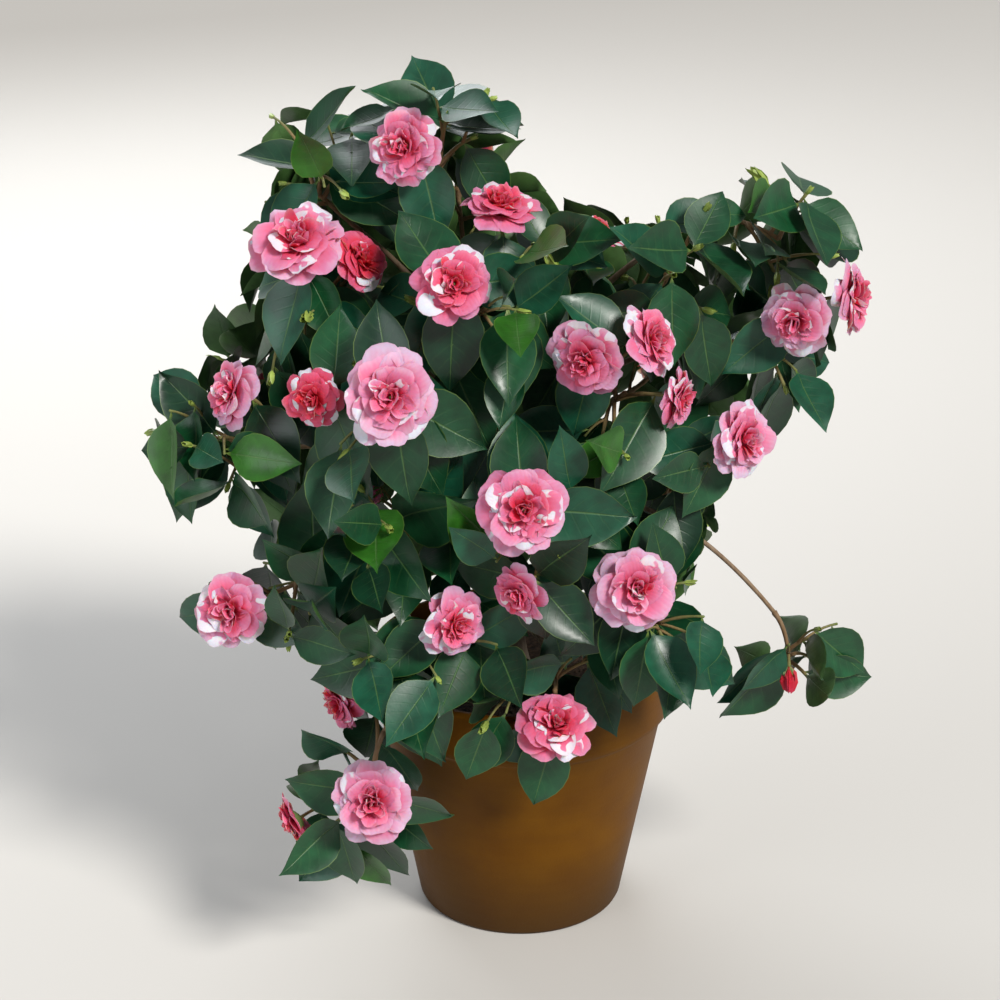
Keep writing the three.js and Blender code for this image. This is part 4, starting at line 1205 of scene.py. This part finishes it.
# For the trunk and for a bough: the sides of its tube, the spacing of its rings, and how young its root is.
TRUNK_TUBE = (20, 5, 0.0)
BOUGH_TUBE = (10, 7, 0.12)
FEWEST_RINGS = 12
YOUNGER_AT_TIP = 0.3


def relief(point):
    """How far the bark stands out at a point, in millimetres."""
    ridges = noise.noise(Vector(point * RIDGE_SCALE))
    knots = noise.noise(Vector(point * KNOT_SCALE) + KNOT_START)
    return RIDGE_HEIGHT * ridges + KNOT_HEIGHT * knots


def ageing(youth, younger):
    """How young the wood is at each share of a tube."""
    return lambda share: youth + younger * share


def limb_radius(limb, has_foot):
    def radius_at(share, middle, around):
        radius = limb.root + (limb.tip - limb.root) * share
        if has_foot:
            radius += ROOT_FLARE * max(0, 1 - (middle[2] - COMPOST_TOP) / FLARE_ENDS) ** 2
        return radius + relief(middle + around * radius) * min(1, radius / FULL_RELIEF_RADIUS)

    return radius_at


for name, limb in limbs.items():
    bm = bmesh.new()
    is_trunk = name == "trunk"
    sides, spacing, youth = TRUNK_TUBE if is_trunk else BOUGH_TUBE
    rings = max(FEWEST_RINGS, round(limb.curve.span() / spacing))
    roll_tube(bm, limb.curve, sides, rings, limb_radius(limb, is_trunk), ageing(youth, YOUNGER_AT_TIP))
    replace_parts(show_wood("wood_" + name, bm), name)
print("limbs", len(limbs))

# %% Stems, twigs and side twigs
# For each kind: its radius at root and tip, how young its root is, and how much younger its tip.
STEM_LOOK = (STEM_RADIUS, 2.0, 0.42, 0.15)
TWIG_LOOK = (2.1, TWIG_TIP_RADIUS, 0.5, 0.4)
SIDE_TWIG_LOOK = (1.5, 1.1, 0.6, 0.4)
TWIG_SIDES = 6
TWIG_RING_SPACING = 8
FEWEST_TWIG_RINGS = 5
RINGS_TO_A_NODE = 3
NODE_SWELLING = 0.22


def twig_radius(root, tip, nodes):
    def radius_at(share, middle, around):
        swelling = 1 + NODE_SWELLING * max(0, math.cos(FULL_TURN * nodes * share)) ** 8
        return (root + (tip - root) * share) * swelling

    return radius_at


def roll_twig(bm, curve, root, tip, youth, younger):
    rings = max(FEWEST_TWIG_RINGS, round(curve.span() / TWIG_RING_SPACING))
    radius_at = twig_radius(root, tip, max(1, rings // RINGS_TO_A_NODE))
    roll_tube(bm, curve, TWIG_SIDES, rings, radius_at, ageing(youth, younger))


for mass in masses:
    bm = bmesh.new()
    roll_twig(bm, mass.stem, *STEM_LOOK)
    for twig in mass.twigs:
        roll_twig(bm, twig.curve, *TWIG_LOOK)
    for twig in mass.side_twigs:
        roll_twig(bm, twig.curve, *SIDE_TWIG_LOOK)
    show_wood("twigs_" + mass.name, bm)
print("twig pieces", len(masses))

# %% [markdown]
# ## Blooms
# Each bloom is a full double: broad notched guard petals open nearly flat, inner rings stand steeper,
# and the heart is a knot of small twisted petals. A petal rises from the neck and bends over, so it's
# set by the angle at which it leaves and the angle at its tip. The colour deepens to the heart, and
# more towards each petal's base, partly the petals' own colour and partly painted shade in the
# creases. White blotches fall here and there.

# %% Petal finish
# Pinks from pale to deep. The deepest stops are partly the bloom's own coral and partly painted shade, the
# saturated pink of the creases.
PETAL_STOPS = [
    (0.0, (0.80, 0.46, 0.62)),
    (0.25, (0.79, 0.205, 0.36)),
    (0.5, (0.77, 0.098, 0.20)),
    (0.75, (0.74, 0.045, 0.098)),
    (1.0, (0.60, 0.016, 0.036)),
]
BLOTCH_WHITE = (0.84, 0.74, 0.79)
PETAL_VEINS = 34
SEPAL_GREEN = (0.16, 0.23, 0.07)
BUD_GREEN = (0.30, 0.40, 0.08)


def petal_finish():
    finish = Finish("petal", Specular_IOR_Level=0.2, Subsurface_Weight=0.4, Subsurface_Scale=0.006)
    along, across = finish.sheet_place()
    cloud = finish.clouds(0.014, 2)
    veins = (across * PETAL_VEINS + cloud * 5).sine()
    # Deeper towards each petal's base: partly the petal's own colour, partly painted shade in the creases.
    depth = finish.attribute("tone") + (0.5 - along) * 0.6 + (cloud - 0.5) * 0.3 + veins * 0.012
    pink = finish.ramp(depth, PETAL_STOPS)
    patch = (along * 0.6 + finish.clouds(0.012, 1) * 1.5).between(1.24, 1.3)
    return finish.feed(
        Base_Color=finish.blend(patch * finish.attribute("white") * 0.92, pink, BLOTCH_WHITE),
        Roughness=0.46 + cloud * 0.16,
        Normal=finish.wear(veins * 0.12 + finish.clouds(0.006, 2), 0.0006, 0.5),
    )


petal_finishes = [
    petal_finish(),
    leaf_finish("sepal", SEPAL_GREEN, 0.4, 0.4),
    leaf_finish("bud_green", BUD_GREEN, 0.38, 0.3),
]
PETAL_SLOT, SEPAL_SLOT, BUD_SLOT = 0, 1, 2
print("finishes", [finish.name for finish in petal_finishes])


# %% One petal
BEND_STEPS = 25
PETAL_THICKNESS = 0.6
NOTCH_WIDTH = 0.3
ROLLS_FROM = 0.7


def bent_profile(leave, arrive):
    """How far out and up a petal of length 1 has come at each step of its bend."""
    angles = np.linspace(leave, arrive, BEND_STEPS)
    middle = (angles[1:] + angles[:-1]) / 2
    out = np.concatenate([[0], np.cumsum(np.sin(middle))]) / (BEND_STEPS - 1)
    up = np.concatenate([[0], np.cumsum(np.cos(middle))]) / (BEND_STEPS - 1)
    return out, up


def petal_points(sheet, bloom, petal):
    """A sheet with a round tip, bent from the neck: it leaves at one angle and arrives at another."""
    quarter = sheet.across * math.pi / 2
    round_tip = petal.widest + (1 - petal.widest) * np.cos(quarter)
    notch = petal.notch * np.exp(-((sheet.across / NOTCH_WIDTH) ** 2)) * sheet.along**4
    reach = sheet.along * (round_tip - notch)
    spoon = np.interp(sheet.along, petal.stations, petal.spread)
    aside = 0.5 * petal.width * spoon * np.sin(quarter)
    lift = petal.cup * petal.width * spoon * sheet.across**2
    wave = np.sin(petal.waves * sheet.across + 3 * petal.turn)
    lift += petal.ruffle * petal.length * sheet.along**2 * wave
    lift -= petal.roll * petal.length * np.clip(sheet.along - ROLLS_FROM, 0, 1) ** 2
    lift -= PETAL_THICKNESS * sheet.depth
    run, rise = bent_profile(petal.leave, petal.arrive)
    steps = np.linspace(0, 1, BEND_STEPS)
    lean = petal.leave + (petal.arrive - petal.leave) * reach
    out = petal.neck + np.interp(reach, steps, run) * petal.length - lift * np.cos(lean)
    up = petal.start + np.interp(reach, steps, rise) * petal.length + lift * np.sin(lean)
    twist = petal.twist * sheet.along
    aside, up = aside * np.cos(twist), up + aside * np.sin(twist)
    radial = turned(bloom.sides, petal.turn)
    return (
        bloom.at
        + np.multiply.outer(out, radial)
        + np.multiply.outer(aside, np.cross(bloom.faces, radial))
        + np.multiply.outer(up, bloom.faces)
    )


# %% Rings and heart of a bloom
# Each ring: how many petals, their length and width in bloom radii, the angles at which they leave and
# arrive, the height that they start at, their cup, and how much deeper their pink is.
RINGS = [
    (9, 0.99, 0.72, 66, 108, -0.12, 0.00, -0.08),
    (8, 0.85, 0.66, 50, 100, -0.08, 0.04, -0.02),
    (7, 0.67, 0.56, 34, 88, -0.05, 0.08, 0.08),
]
PLAIN = dict(cup=0, ruffle=0, waves=0, twist=0, roll=0, notch=0)
SPOON = dict(stations=PETAL_STATIONS, spread=(0.16, 0.7, 1, 1), widest=0.6, **PLAIN)
RING_NECK = 0.05
LEAST_PETAL_LENGTH = 0.86
MORE_PETAL_LENGTH = 0.2
LEAST_PETAL_WIDTH = 0.84
MORE_PETAL_WIDTH = 0.34
PETAL_TURN_VARIES = 0.5
LEAVE_VARIES = 16
ARRIVE_VARIES = 44
HEART_PETALS = 22
HEART_DEEPER = 0.14
WHITE_CHANCE = 0.24
HEART_WHITE_CHANCE = 0.1

# What chance adds to a petal, in the order of its draws: the least, and how much more it may be.
RING_CHANCES = dict(
    cup=(-0.077, 0.22),
    ruffle=(-0.085, 0.17),
    waves=(2.5, 3.5),
    twist=(-0.25, 0.5),
    roll=(0, 0.9),
    notch=(0, 0.14),
    tone=(-0.08, 0.16),
)
HEART_CHANCES = dict(
    cup=(-0.15, 0.6),
    ruffle=(-0.15, 0.3),
    waves=(2.5, 3),
    twist=(-0.9, 1.8),
    roll=(0, 1.2),
    notch=(0, 0.18),
    tone=(-0.18, 0.36),
)


def with_chances(petal, chances, white_chance, draw):
    for quality, (least, more) in chances.items():
        setattr(petal, quality, getattr(petal, quality) + least + more * draw())
    petal.white = float(draw() < white_chance)
    return petal


def ring_petals(bloom, draw):
    """Broad petals in rings, from the open guard petals inwards, each with its own chances."""
    radius = bloom.radius
    for count, length, width, leave, arrive, start, cup, deeper in RINGS:
        first = FULL_TURN * draw()
        for i in range(count):
            petal = SimpleNamespace(**SPOON)
            petal.turn = first + FULL_TURN * (i + PETAL_TURN_VARIES * (draw() - 0.5)) / count
            petal.length = radius * length * (LEAST_PETAL_LENGTH + MORE_PETAL_LENGTH * draw())
            petal.width = radius * width * (LEAST_PETAL_WIDTH + MORE_PETAL_WIDTH * draw())
            petal.leave = math.radians(leave + LEAVE_VARIES * (draw() - 0.5))
            petal.arrive = math.radians(arrive + ARRIVE_VARIES * (draw() - 0.5))
            petal.start = radius * start
            petal.neck = radius * RING_NECK
            petal.cup = cup
            petal.tone = bloom.tone + deeper
            yield with_chances(petal, RING_CHANCES, WHITE_CHANCE, draw)


def heart_petals(bloom, draw):
    """Small twisted petals that fill the middle, the inner ones upright and the outer ones leaning."""
    radius = bloom.radius
    for i in range(HEART_PETALS):
        share = i / HEART_PETALS
        petal = SimpleNamespace(**SPOON)
        petal.turn = GOLDEN_ANGLE * i + 1.2 * draw()
        petal.length = radius * (0.27 + 0.2 * share + 0.12 * draw())
        petal.width = radius * (0.18 + 0.22 * draw())
        petal.leave = math.radians(60 * share * draw())
        petal.arrive = math.radians(70 * share + 70 * (draw() - 0.45))
        petal.start = radius * (0.1 - 0.12 * share)
        petal.neck = radius * (0.02 + 0.17 * share)
        petal.tone = bloom.tone + HEART_DEEPER
        yield with_chances(petal, HEART_CHANCES, HEART_WHITE_CHANCE, draw)


print("petals in a bloom", sum(ring[0] for ring in RINGS) + HEART_PETALS)


# %% Sepals and buds
# Scales round an axis: how many, their length and width as shares of the bloom's radius or the bud's length,
# the angles at which they leave and arrive, and the height that they start at.
SEPALS = dict(count=6, length=0.5, width=0.4, leave=74, arrive=60, start=-0.2)
GROWTH_SCALES = dict(count=5, length=1, width=0.42, leave=16, arrive=-6)
FLOWER_BUD_LAYER = dict(count=5, leave=62, arrive=-56)
SCALE_SPREAD = (0.5, 0.95, 1, 0.55, 0)
SCALE_CUP = 0.16
LEAST_SCALE_LENGTH = 0.85
MORE_SCALE_LENGTH = 0.3
SCALE_TURN_VARIES = 0.3
SCALE_ARRIVE_VARIES = 12
SEPAL_NECK = 0.03
GROWTH_BUD_NECK = 0.8
BUD_SUNK = 1.5

# A flower bud hangs. Each of its layers has a length, a width and a finish.
BUD_HANG = np.array((0, 0, -1.4))
BUD_LAYERS = ((1, 0.55, PETAL_SLOT), (0.96, 0.5, PETAL_SLOT), (0.64, 0.5, SEPAL_SLOT))
FLOWER_BUD_NECK = 0.4
FLOWER_BUD_SPREAD = (0.5, 0.95, 1, 0.7, 0.1)
FLOWER_BUD_CUP = 0.5
BUD_TONE_VARIES = 0.2


def scale_petals(size, neck, draw, count, length, width, leave, arrive, start=0.0):
    """Green scales round an axis, for a bloom's back or for a bud."""
    for i in range(count):
        scale = SimpleNamespace(stations=SCALE_STATIONS, spread=SCALE_SPREAD, widest=1, **PLAIN)
        scale.turn = FULL_TURN * (i + SCALE_TURN_VARIES * draw()) / count
        scale.length = size * length * (LEAST_SCALE_LENGTH + MORE_SCALE_LENGTH * draw())
        scale.width = size * width
        scale.leave = math.radians(leave)
        scale.arrive = math.radians(arrive + SCALE_ARRIVE_VARIES * (draw() - 0.5))
        scale.start = size * start
        scale.neck = neck
        scale.cup = SCALE_CUP
        yield scale


def add_scale(heap, axis, scale, slot, tone=0.0):
    heap.add(scale_sheet, petal_points(scale_sheet, axis, scale), slot, slot, tone)


def add_bloom(heap, bloom, draw):
    bloom.sides = square_to(bloom.faces)
    for petal in [*ring_petals(bloom, draw), *heart_petals(bloom, draw)]:
        points = petal_points(petal_sheet, bloom, petal)
        heap.add(petal_sheet, points, PETAL_SLOT, PETAL_SLOT, petal.tone, petal.white)
    for sepal in scale_petals(bloom.radius, bloom.radius * SEPAL_NECK, draw, **SEPALS):
        add_scale(heap, bloom, sepal, SEPAL_SLOT)


def bud_axis(curve, faces):
    """A bud's own place and directions, with its foot sunk into the twig's tip."""
    return SimpleNamespace(at=curve.at(1) - curve.ahead(1) * BUD_SUNK, faces=faces, sides=square_to(faces))


def add_growth_bud(heap, curve, size, draw):
    """A pointed bud of narrow scales at the tip of a twig."""
    axis = bud_axis(curve, curve.ahead(1))
    for scale in scale_petals(size, GROWTH_BUD_NECK, draw, **GROWTH_SCALES):
        add_scale(heap, axis, scale, BUD_SLOT)


def add_flower_bud(heap, curve, size, tone, draw):
    """A plump hanging bud: petals shut round the axis, with shorter green scales outside them."""
    axis = bud_axis(curve, unit(curve.ahead(1) + BUD_HANG))
    for length, width, slot in BUD_LAYERS:
        layer = dict(FLOWER_BUD_LAYER, length=length, width=width)
        for scale in scale_petals(size, FLOWER_BUD_NECK, draw, **layer):
            scale.cup = FLOWER_BUD_CUP
            scale.spread = FLOWER_BUD_SPREAD
            add_scale(heap, axis, scale, slot, tone + BUD_TONE_VARIES * draw())


print("sepals", SEPALS["count"], "scales on a bud", GROWTH_SCALES["count"])

# %% Blooms and buds of each mass
# Flower buds and new shoots go to the twig tips nearest to these places. A bud also has its depth of pink.
FLOWER_BUDS = [
    ((-115, -184, 338), 0.1),
    ((-174, -90, 482), 0.15),
    ((-195, -90, 484), 0.15),
    ((252, -103, 297), 0.95),
]
FLOWER_BUD_LENGTH = 30
NEW_SHOOTS = [(-206, 0, 828), (-233, -60, 655), (-213, -90, 627), (48, -90, 711), (229, -10, 751)]
NEW_SHOOT_LENGTH = 26
GROWTH_BUD_CHANCE = 0.55
GROWTH_BUD_SHORTEST = 9
GROWTH_BUD_GAIN = 16
free_twigs = [twig for mass in masses for twig in mass.twigs + mass.side_twigs if not twig.bloom]


def nearest_tip(place):
    return min(free_twigs, key=lambda twig: distance(twig.curve.at(1), np.array(place, float)))


for place, tone in FLOWER_BUDS:
    twig = nearest_tip(place)
    twig.bud_tone = tone
    print("flower bud", twig.curve.at(1).round())
for place in NEW_SHOOTS:
    nearest_tip(place).shoot = True
for mass in masses:
    heap = Heap()
    draw = seeded(mass.seed + FLOWER_SEED)
    for bloom in blooms:
        if bloom.mass is mass:
            add_bloom(heap, bloom, draw)
    for twig in mass.twigs + mass.side_twigs:
        size = draw()
        if hasattr(twig, "bud_tone"):
            add_flower_bud(heap, twig.curve, FLOWER_BUD_LENGTH, twig.bud_tone, draw)
        elif hasattr(twig, "shoot"):
            add_growth_bud(heap, twig.curve, NEW_SHOOT_LENGTH, draw)
        elif not twig.bloom and size < GROWTH_BUD_CHANCE:
            add_growth_bud(heap, twig.curve, GROWTH_BUD_SHORTEST + GROWTH_BUD_GAIN * size, draw)
    if heap.count:
        heap.join("flowers_" + mass.name, petal_finishes)
print("blooms", len(blooms))

# %% [markdown]
# ## The pot
# A glazed clay pot is thrown on a wheel, so its outline is spun: half of its section, rim band and all,
# is drawn as a chain of edges and turned right round. The band's lower edge and the lip are rounded by
# short steps in the chain, because a bevel would round the crisp corners too.

# %% Pot finish
GLAZE = (0.112, 0.041, 0.0012)
GLAZE_LIGHT = (0.150, 0.060, 0.0018)
THROWING_LINE = (0.092, 0.033, 0.0012)
# The dark foot colour is partly a stain and partly painted shade near the floor.
FOOT_STAIN_AND_SHADE = (0.034, 0.020, 0.0090)
GLAZE_SPECK = (0.090, 0.034, 0.0050)


def pot_finish():
    finish = Finish("pot_glaze", Specular_IOR_Level=0.11)
    place = finish.object_place()
    height = finish.node("ShaderNodeSeparateXYZ", {}, {0: place}, "Z")
    rings = finish.node("ShaderNodeMapping", {}, {"Vector": place, "Scale": (0.3, 0.3, 6)})
    throwing = finish.clouds(0.06, 3, rings)
    stains = finish.clouds(0.05, 4)
    grain = finish.clouds(0.0022, 3)
    body = finish.blend(stains.between(0.3, 0.75), GLAZE, GLAZE_LIGHT)
    body = finish.blend(throwing.between(0.4, 0.75) * 0.2, body, THROWING_LINE)
    # Darker towards the foot: partly a stain, partly painted shade near the floor.
    foot = (1 - height.between(-0.01, 0.1)) * (0.65 + stains * 0.5)
    body = finish.blend(foot * 0.8, body, FOOT_STAIN_AND_SHADE)
    body = finish.blend(grain.between(0.6, 0.8) * 0.25, body, GLAZE_SPECK)
    return finish.feed(
        Base_Color=body,
        Roughness=0.4 + stains * 0.2 + grain * 0.08,
        Normal=finish.wear(throwing * 0.6 + grain * 0.2, 0.0011, 0.5),
    )


# %% Spin the pot
def spin_outline(bm, outline, steps):
    """Turns a chain of points, given as distance from the axis and height, right round."""
    verts = [bm.verts.new((across * MM, 0, up * MM)) for across, up in outline]
    edges = [bm.edges.new(pair) for pair in zip(verts, verts[1:])]
    bmesh.ops.spin(
        bm,
        geom=verts + edges,
        cent=(0, 0, 0),
        axis=(0, 0, 1),
        angle=FULL_TURN,
        steps=steps,
        use_merge=True,
    )
    bmesh.ops.remove_doubles(bm, verts=bm.verts[:], dist=WELD)
    bmesh.ops.recalc_face_normals(bm, faces=bm.faces[:])


POT_STEPS = 96
POT_SHARP = math.radians(50)
BAND_FOOT = POT_HEIGHT - POT_BAND_HEIGHT
UNDER_BAND = POT_RIM_RADIUS - 2 - POT_BAND_STEP
MOUTH = POT_RIM_RADIUS - POT_WALL
INSIDE_FOOT = POT_FOOT_RADIUS - POT_WALL
# From the middle of the foot up the outside, over the band and lip, and down the inside to the floor.
POT_OUTLINE = [
    (0, 0),
    (POT_FOOT_RADIUS - 5, 0),
    (POT_FOOT_RADIUS - 1.5, 1),
    (POT_FOOT_RADIUS, 4),
    ((POT_FOOT_RADIUS + UNDER_BAND) / 2, BAND_FOOT / 2),
    (UNDER_BAND, BAND_FOOT - 5),
    (UNDER_BAND + 1.2, BAND_FOOT - 2.5),
    (POT_RIM_RADIUS - 5, BAND_FOOT + 0.5),
    (POT_RIM_RADIUS - 2.6, BAND_FOOT + 3),
    (POT_RIM_RADIUS - 2, BAND_FOOT + 8),
    (POT_RIM_RADIUS, POT_HEIGHT - 7),
    (POT_RIM_RADIUS - 0.5, POT_HEIGHT - 3),
    (POT_RIM_RADIUS - 2.5, POT_HEIGHT - 0.8),
    (POT_RIM_RADIUS - 5, POT_HEIGHT),
    (MOUTH + 2, POT_HEIGHT - 1),
    (MOUTH, POT_HEIGHT - 4),
    (MOUTH - 1, POT_HEIGHT - 9),
    (INSIDE_FOOT, POT_FLOOR),
    (0, POT_FLOOR),
]
bm = bmesh.new()
spin_outline(bm, POT_OUTLINE, POT_STEPS)
mesh = mesh_from("pot_glazed", bm, pot_finish())
mesh.set_sharp_from_angle(angle=POT_SHARP)
pot = show(mesh)
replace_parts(pot, "pot")
print("pot", [round(side, 3) for side in pot.dimensions])

# %% [markdown]
# ## Compost
# Compost is dark crumbs and bark bits, mounded a little to the trunk. A smooth disc would look like
# paint, so the solid's top is spun finely, roughened with noise, and strewn with small crumbs joined
# into one mesh.

# %% Compost finish
SOIL_DARK = (0.012, 0.008, 0.006)
SOIL_LIGHT = (0.075, 0.046, 0.030)
BARK_BITS = (0.12, 0.075, 0.045)


def compost_finish():
    finish = Finish("compost", Specular_IOR_Level=0.25)
    crumbs = finish.clouds(0.004, 5)
    patches = finish.clouds(0.02, 3)
    soil = finish.blend(crumbs.between(0.35, 0.7), SOIL_DARK, SOIL_LIGHT)
    soil = finish.blend(patches.between(0.55, 0.75) * 0.4, soil, BARK_BITS)
    return finish.feed(
        Base_Color=soil,
        Roughness=0.8 + crumbs * 0.2,
        Normal=finish.wear(crumbs + patches, 0.003, 0.8),
    )


compost_look = compost_finish()
print("finish", compost_look.name)


# %% Mound of compost
COMPOST_EDGE = COMPOST_TOP - CLEAR - COMPOST_MOUND
COMPOST_FOOT = POT_FLOOR + 1
COMPOST_INSET = 0.6
COMPOST_STEPS = 72
COMPOST_RINGS = 30
RISING_RINGS = 8
LIP_DEPTH = 7
INSIDE_SLOPE = (MOUTH - 1 - INSIDE_FOOT) / (POT_HEIGHT - LIP_DEPTH - POT_FLOOR)

# The lumps of the surface: how close together, and how high. The coarse height is taken off again.
COARSE_LUMPS, COARSE_HEIGHT = 90, 1.6
FINE_LUMPS, FINE_HEIGHT = 300, 0.8


def inside_wall(up):
    """How far out the compost reaches at a height, just clear of the pot's inner wall."""
    return INSIDE_FOOT + INSIDE_SLOPE * (up - POT_FLOOR) - CLEAR - COMPOST_INSET


edge_radius = inside_wall(COMPOST_EDGE)
surface = [
    (edge_radius * (1 - k / COMPOST_RINGS), COMPOST_EDGE + COMPOST_MOUND * min(1, k / RISING_RINGS))
    for k in range(COMPOST_RINGS + 1)
]
bm = bmesh.new()
below = [(0, COMPOST_FOOT), (inside_wall(COMPOST_FOOT), COMPOST_FOOT)]
spin_outline(bm, below + surface, COMPOST_STEPS)
for vert in bm.verts:
    if vert.co.z > (COMPOST_EDGE - 1) * MM:
        coarse = noise.noise(vert.co * COARSE_LUMPS) * COARSE_HEIGHT
        fine = noise.noise(vert.co * FINE_LUMPS) * FINE_HEIGHT
        vert.co.z += (coarse + fine - COARSE_HEIGHT) * MM
mound = show(mesh_from("compost_mound", bm, compost_look))
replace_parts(mound, "compost")
print("compost", [round(side, 3) for side in mound.dimensions])

# %% Crumbs
CRUMBS = 700
CRUMB_SMALLEST = 1.1
CRUMB_GAIN = 2.6
CRUMB_SUNK = 1.4
CRUMB_FREE_EDGE = 4
CRUMB_TURN = 6
LEAST_CRUMB_WIDTH = 0.6
MORE_CRUMB_WIDTH = 0.4
LEAST_CRUMB_HEIGHT = 0.4
MORE_CRUMB_HEIGHT = 0.5
rising_width = edge_radius * RISING_RINGS / COMPOST_RINGS
bm = bmesh.new()
draw = seeded(SEED + CRUMB_SEED)
for _ in range(CRUMBS):
    turn = FULL_TURN * draw()
    out = (edge_radius - CRUMB_FREE_EDGE) * math.sqrt(draw())
    size = (CRUMB_SMALLEST + CRUMB_GAIN * draw() ** 3) * MM
    up = COMPOST_EDGE + COMPOST_MOUND * min(1, (edge_radius - out) / rising_width) - CRUMB_SUNK
    place = Matrix.Translation(Vector((out * math.cos(turn), out * math.sin(turn), up)) * MM)
    spin = Matrix.Rotation(CRUMB_TURN * draw(), 4, "Z") @ Matrix.Rotation(CRUMB_TURN * draw(), 4, "X")
    width = LEAST_CRUMB_WIDTH + MORE_CRUMB_WIDTH * draw()
    flat = Matrix.Diagonal((1, width, LEAST_CRUMB_HEIGHT + MORE_CRUMB_HEIGHT * draw(), 1))
    bmesh.ops.create_icosphere(bm, subdivisions=1, radius=size, matrix=place @ spin @ flat)
show(mesh_from("compost_crumbs", bm, compost_look, smooth=False))
print("crumbs", CRUMBS)

# %% [markdown]
# ## Floor, light and camera
# A plain pale floor takes the shadow. A wide soft sun from the upper right and front brings out the
# gloss of the leaves, two soft round lamps at the left and behind lift the far sides, and a pale world
# fills the shade. The camera stands as it did for the photograph.

# %% Floor
FLOOR_HALF = 30
FLOOR_COLOUR = (0.56, 0.545, 0.52, 1)
floor_finish = Finish("floor_paper", Base_Color=FLOOR_COLOUR, Roughness=0.85, Specular_IOR_Level=0.2)
bm = bmesh.new()
bmesh.ops.create_grid(bm, x_segments=1, y_segments=1, size=FLOOR_HALF)
floor = in_scene("floor", mesh_from("floor", bm, floor_finish.material, smooth=False))
print("floor", list(floor.dimensions))


# %% Lamps
LAMP_TARGET = (0, 0, 0.45)
SUN_PLACE = (1.5, -1.7, 2.5)
SUN_STRENGTH = 3.6
SUN_WIDTH = math.radians(16)
SUN_COLOUR = (1.0, 0.97, 0.92)
# Each round lamp: its place, power and width.
ROUND_LAMPS = {"fill": ((-2.4, -1.6, 1.4), 26, 1.8), "back": ((-0.8, 2.4, 2.2), 70, 2.4)}
LAMP_COLOUR = (0.94, 0.97, 1.0)
WORLD_COLOUR = (0.93, 0.95, 1.0, 1)
WORLD_STRENGTH = 0.27


def add_lamp(name, kind, place, power, colour):
    light = bpy.data.lights.new(name, kind)
    light.energy = power
    light.color = colour
    lamp = in_scene(name, light)
    lamp.location = place
    lamp.rotation_euler = (Vector(LAMP_TARGET) - Vector(place)).to_track_quat("-Z", "Y").to_euler()
    return light


sun = add_lamp("key", "SUN", SUN_PLACE, SUN_STRENGTH, SUN_COLOUR)
sun.angle = SUN_WIDTH
for name, (place, power, width) in ROUND_LAMPS.items():
    lamp = add_lamp(name, "AREA", place, power, LAMP_COLOUR)
    lamp.shape = "DISK"
    lamp.size = width
world = bpy.data.worlds.new("studio")
world.use_nodes = True
background = world.node_tree.nodes["Background"]
background.inputs["Color"].default_value = WORLD_COLOUR
background.inputs["Strength"].default_value = WORLD_STRENGTH
bpy.context.scene.world = world
bpy.context.scene.view_settings.view_transform = "Standard"
print("lamps", len(bpy.data.lights))

# %% Camera
CAMERA_PLACE = (-0.0205, -2.296, 1.398)
CAMERA_DIP = math.radians(23)
FOCAL_PIXELS = 2600
IMAGE_PIXELS = 1000
SENSOR_WIDTH = 36
camera_data = bpy.data.cameras.new("photo_camera")
camera_data.sensor_width = SENSOR_WIDTH
camera_data.lens = SENSOR_WIDTH * FOCAL_PIXELS / IMAGE_PIXELS
camera = in_scene("photo_camera", camera_data)
camera.location = CAMERA_PLACE
camera.rotation_euler = (math.pi / 2 - CAMERA_DIP, 0, 0)
bpy.context.scene.camera = camera
print("camera's focal length", camera_data.lens, "mm")
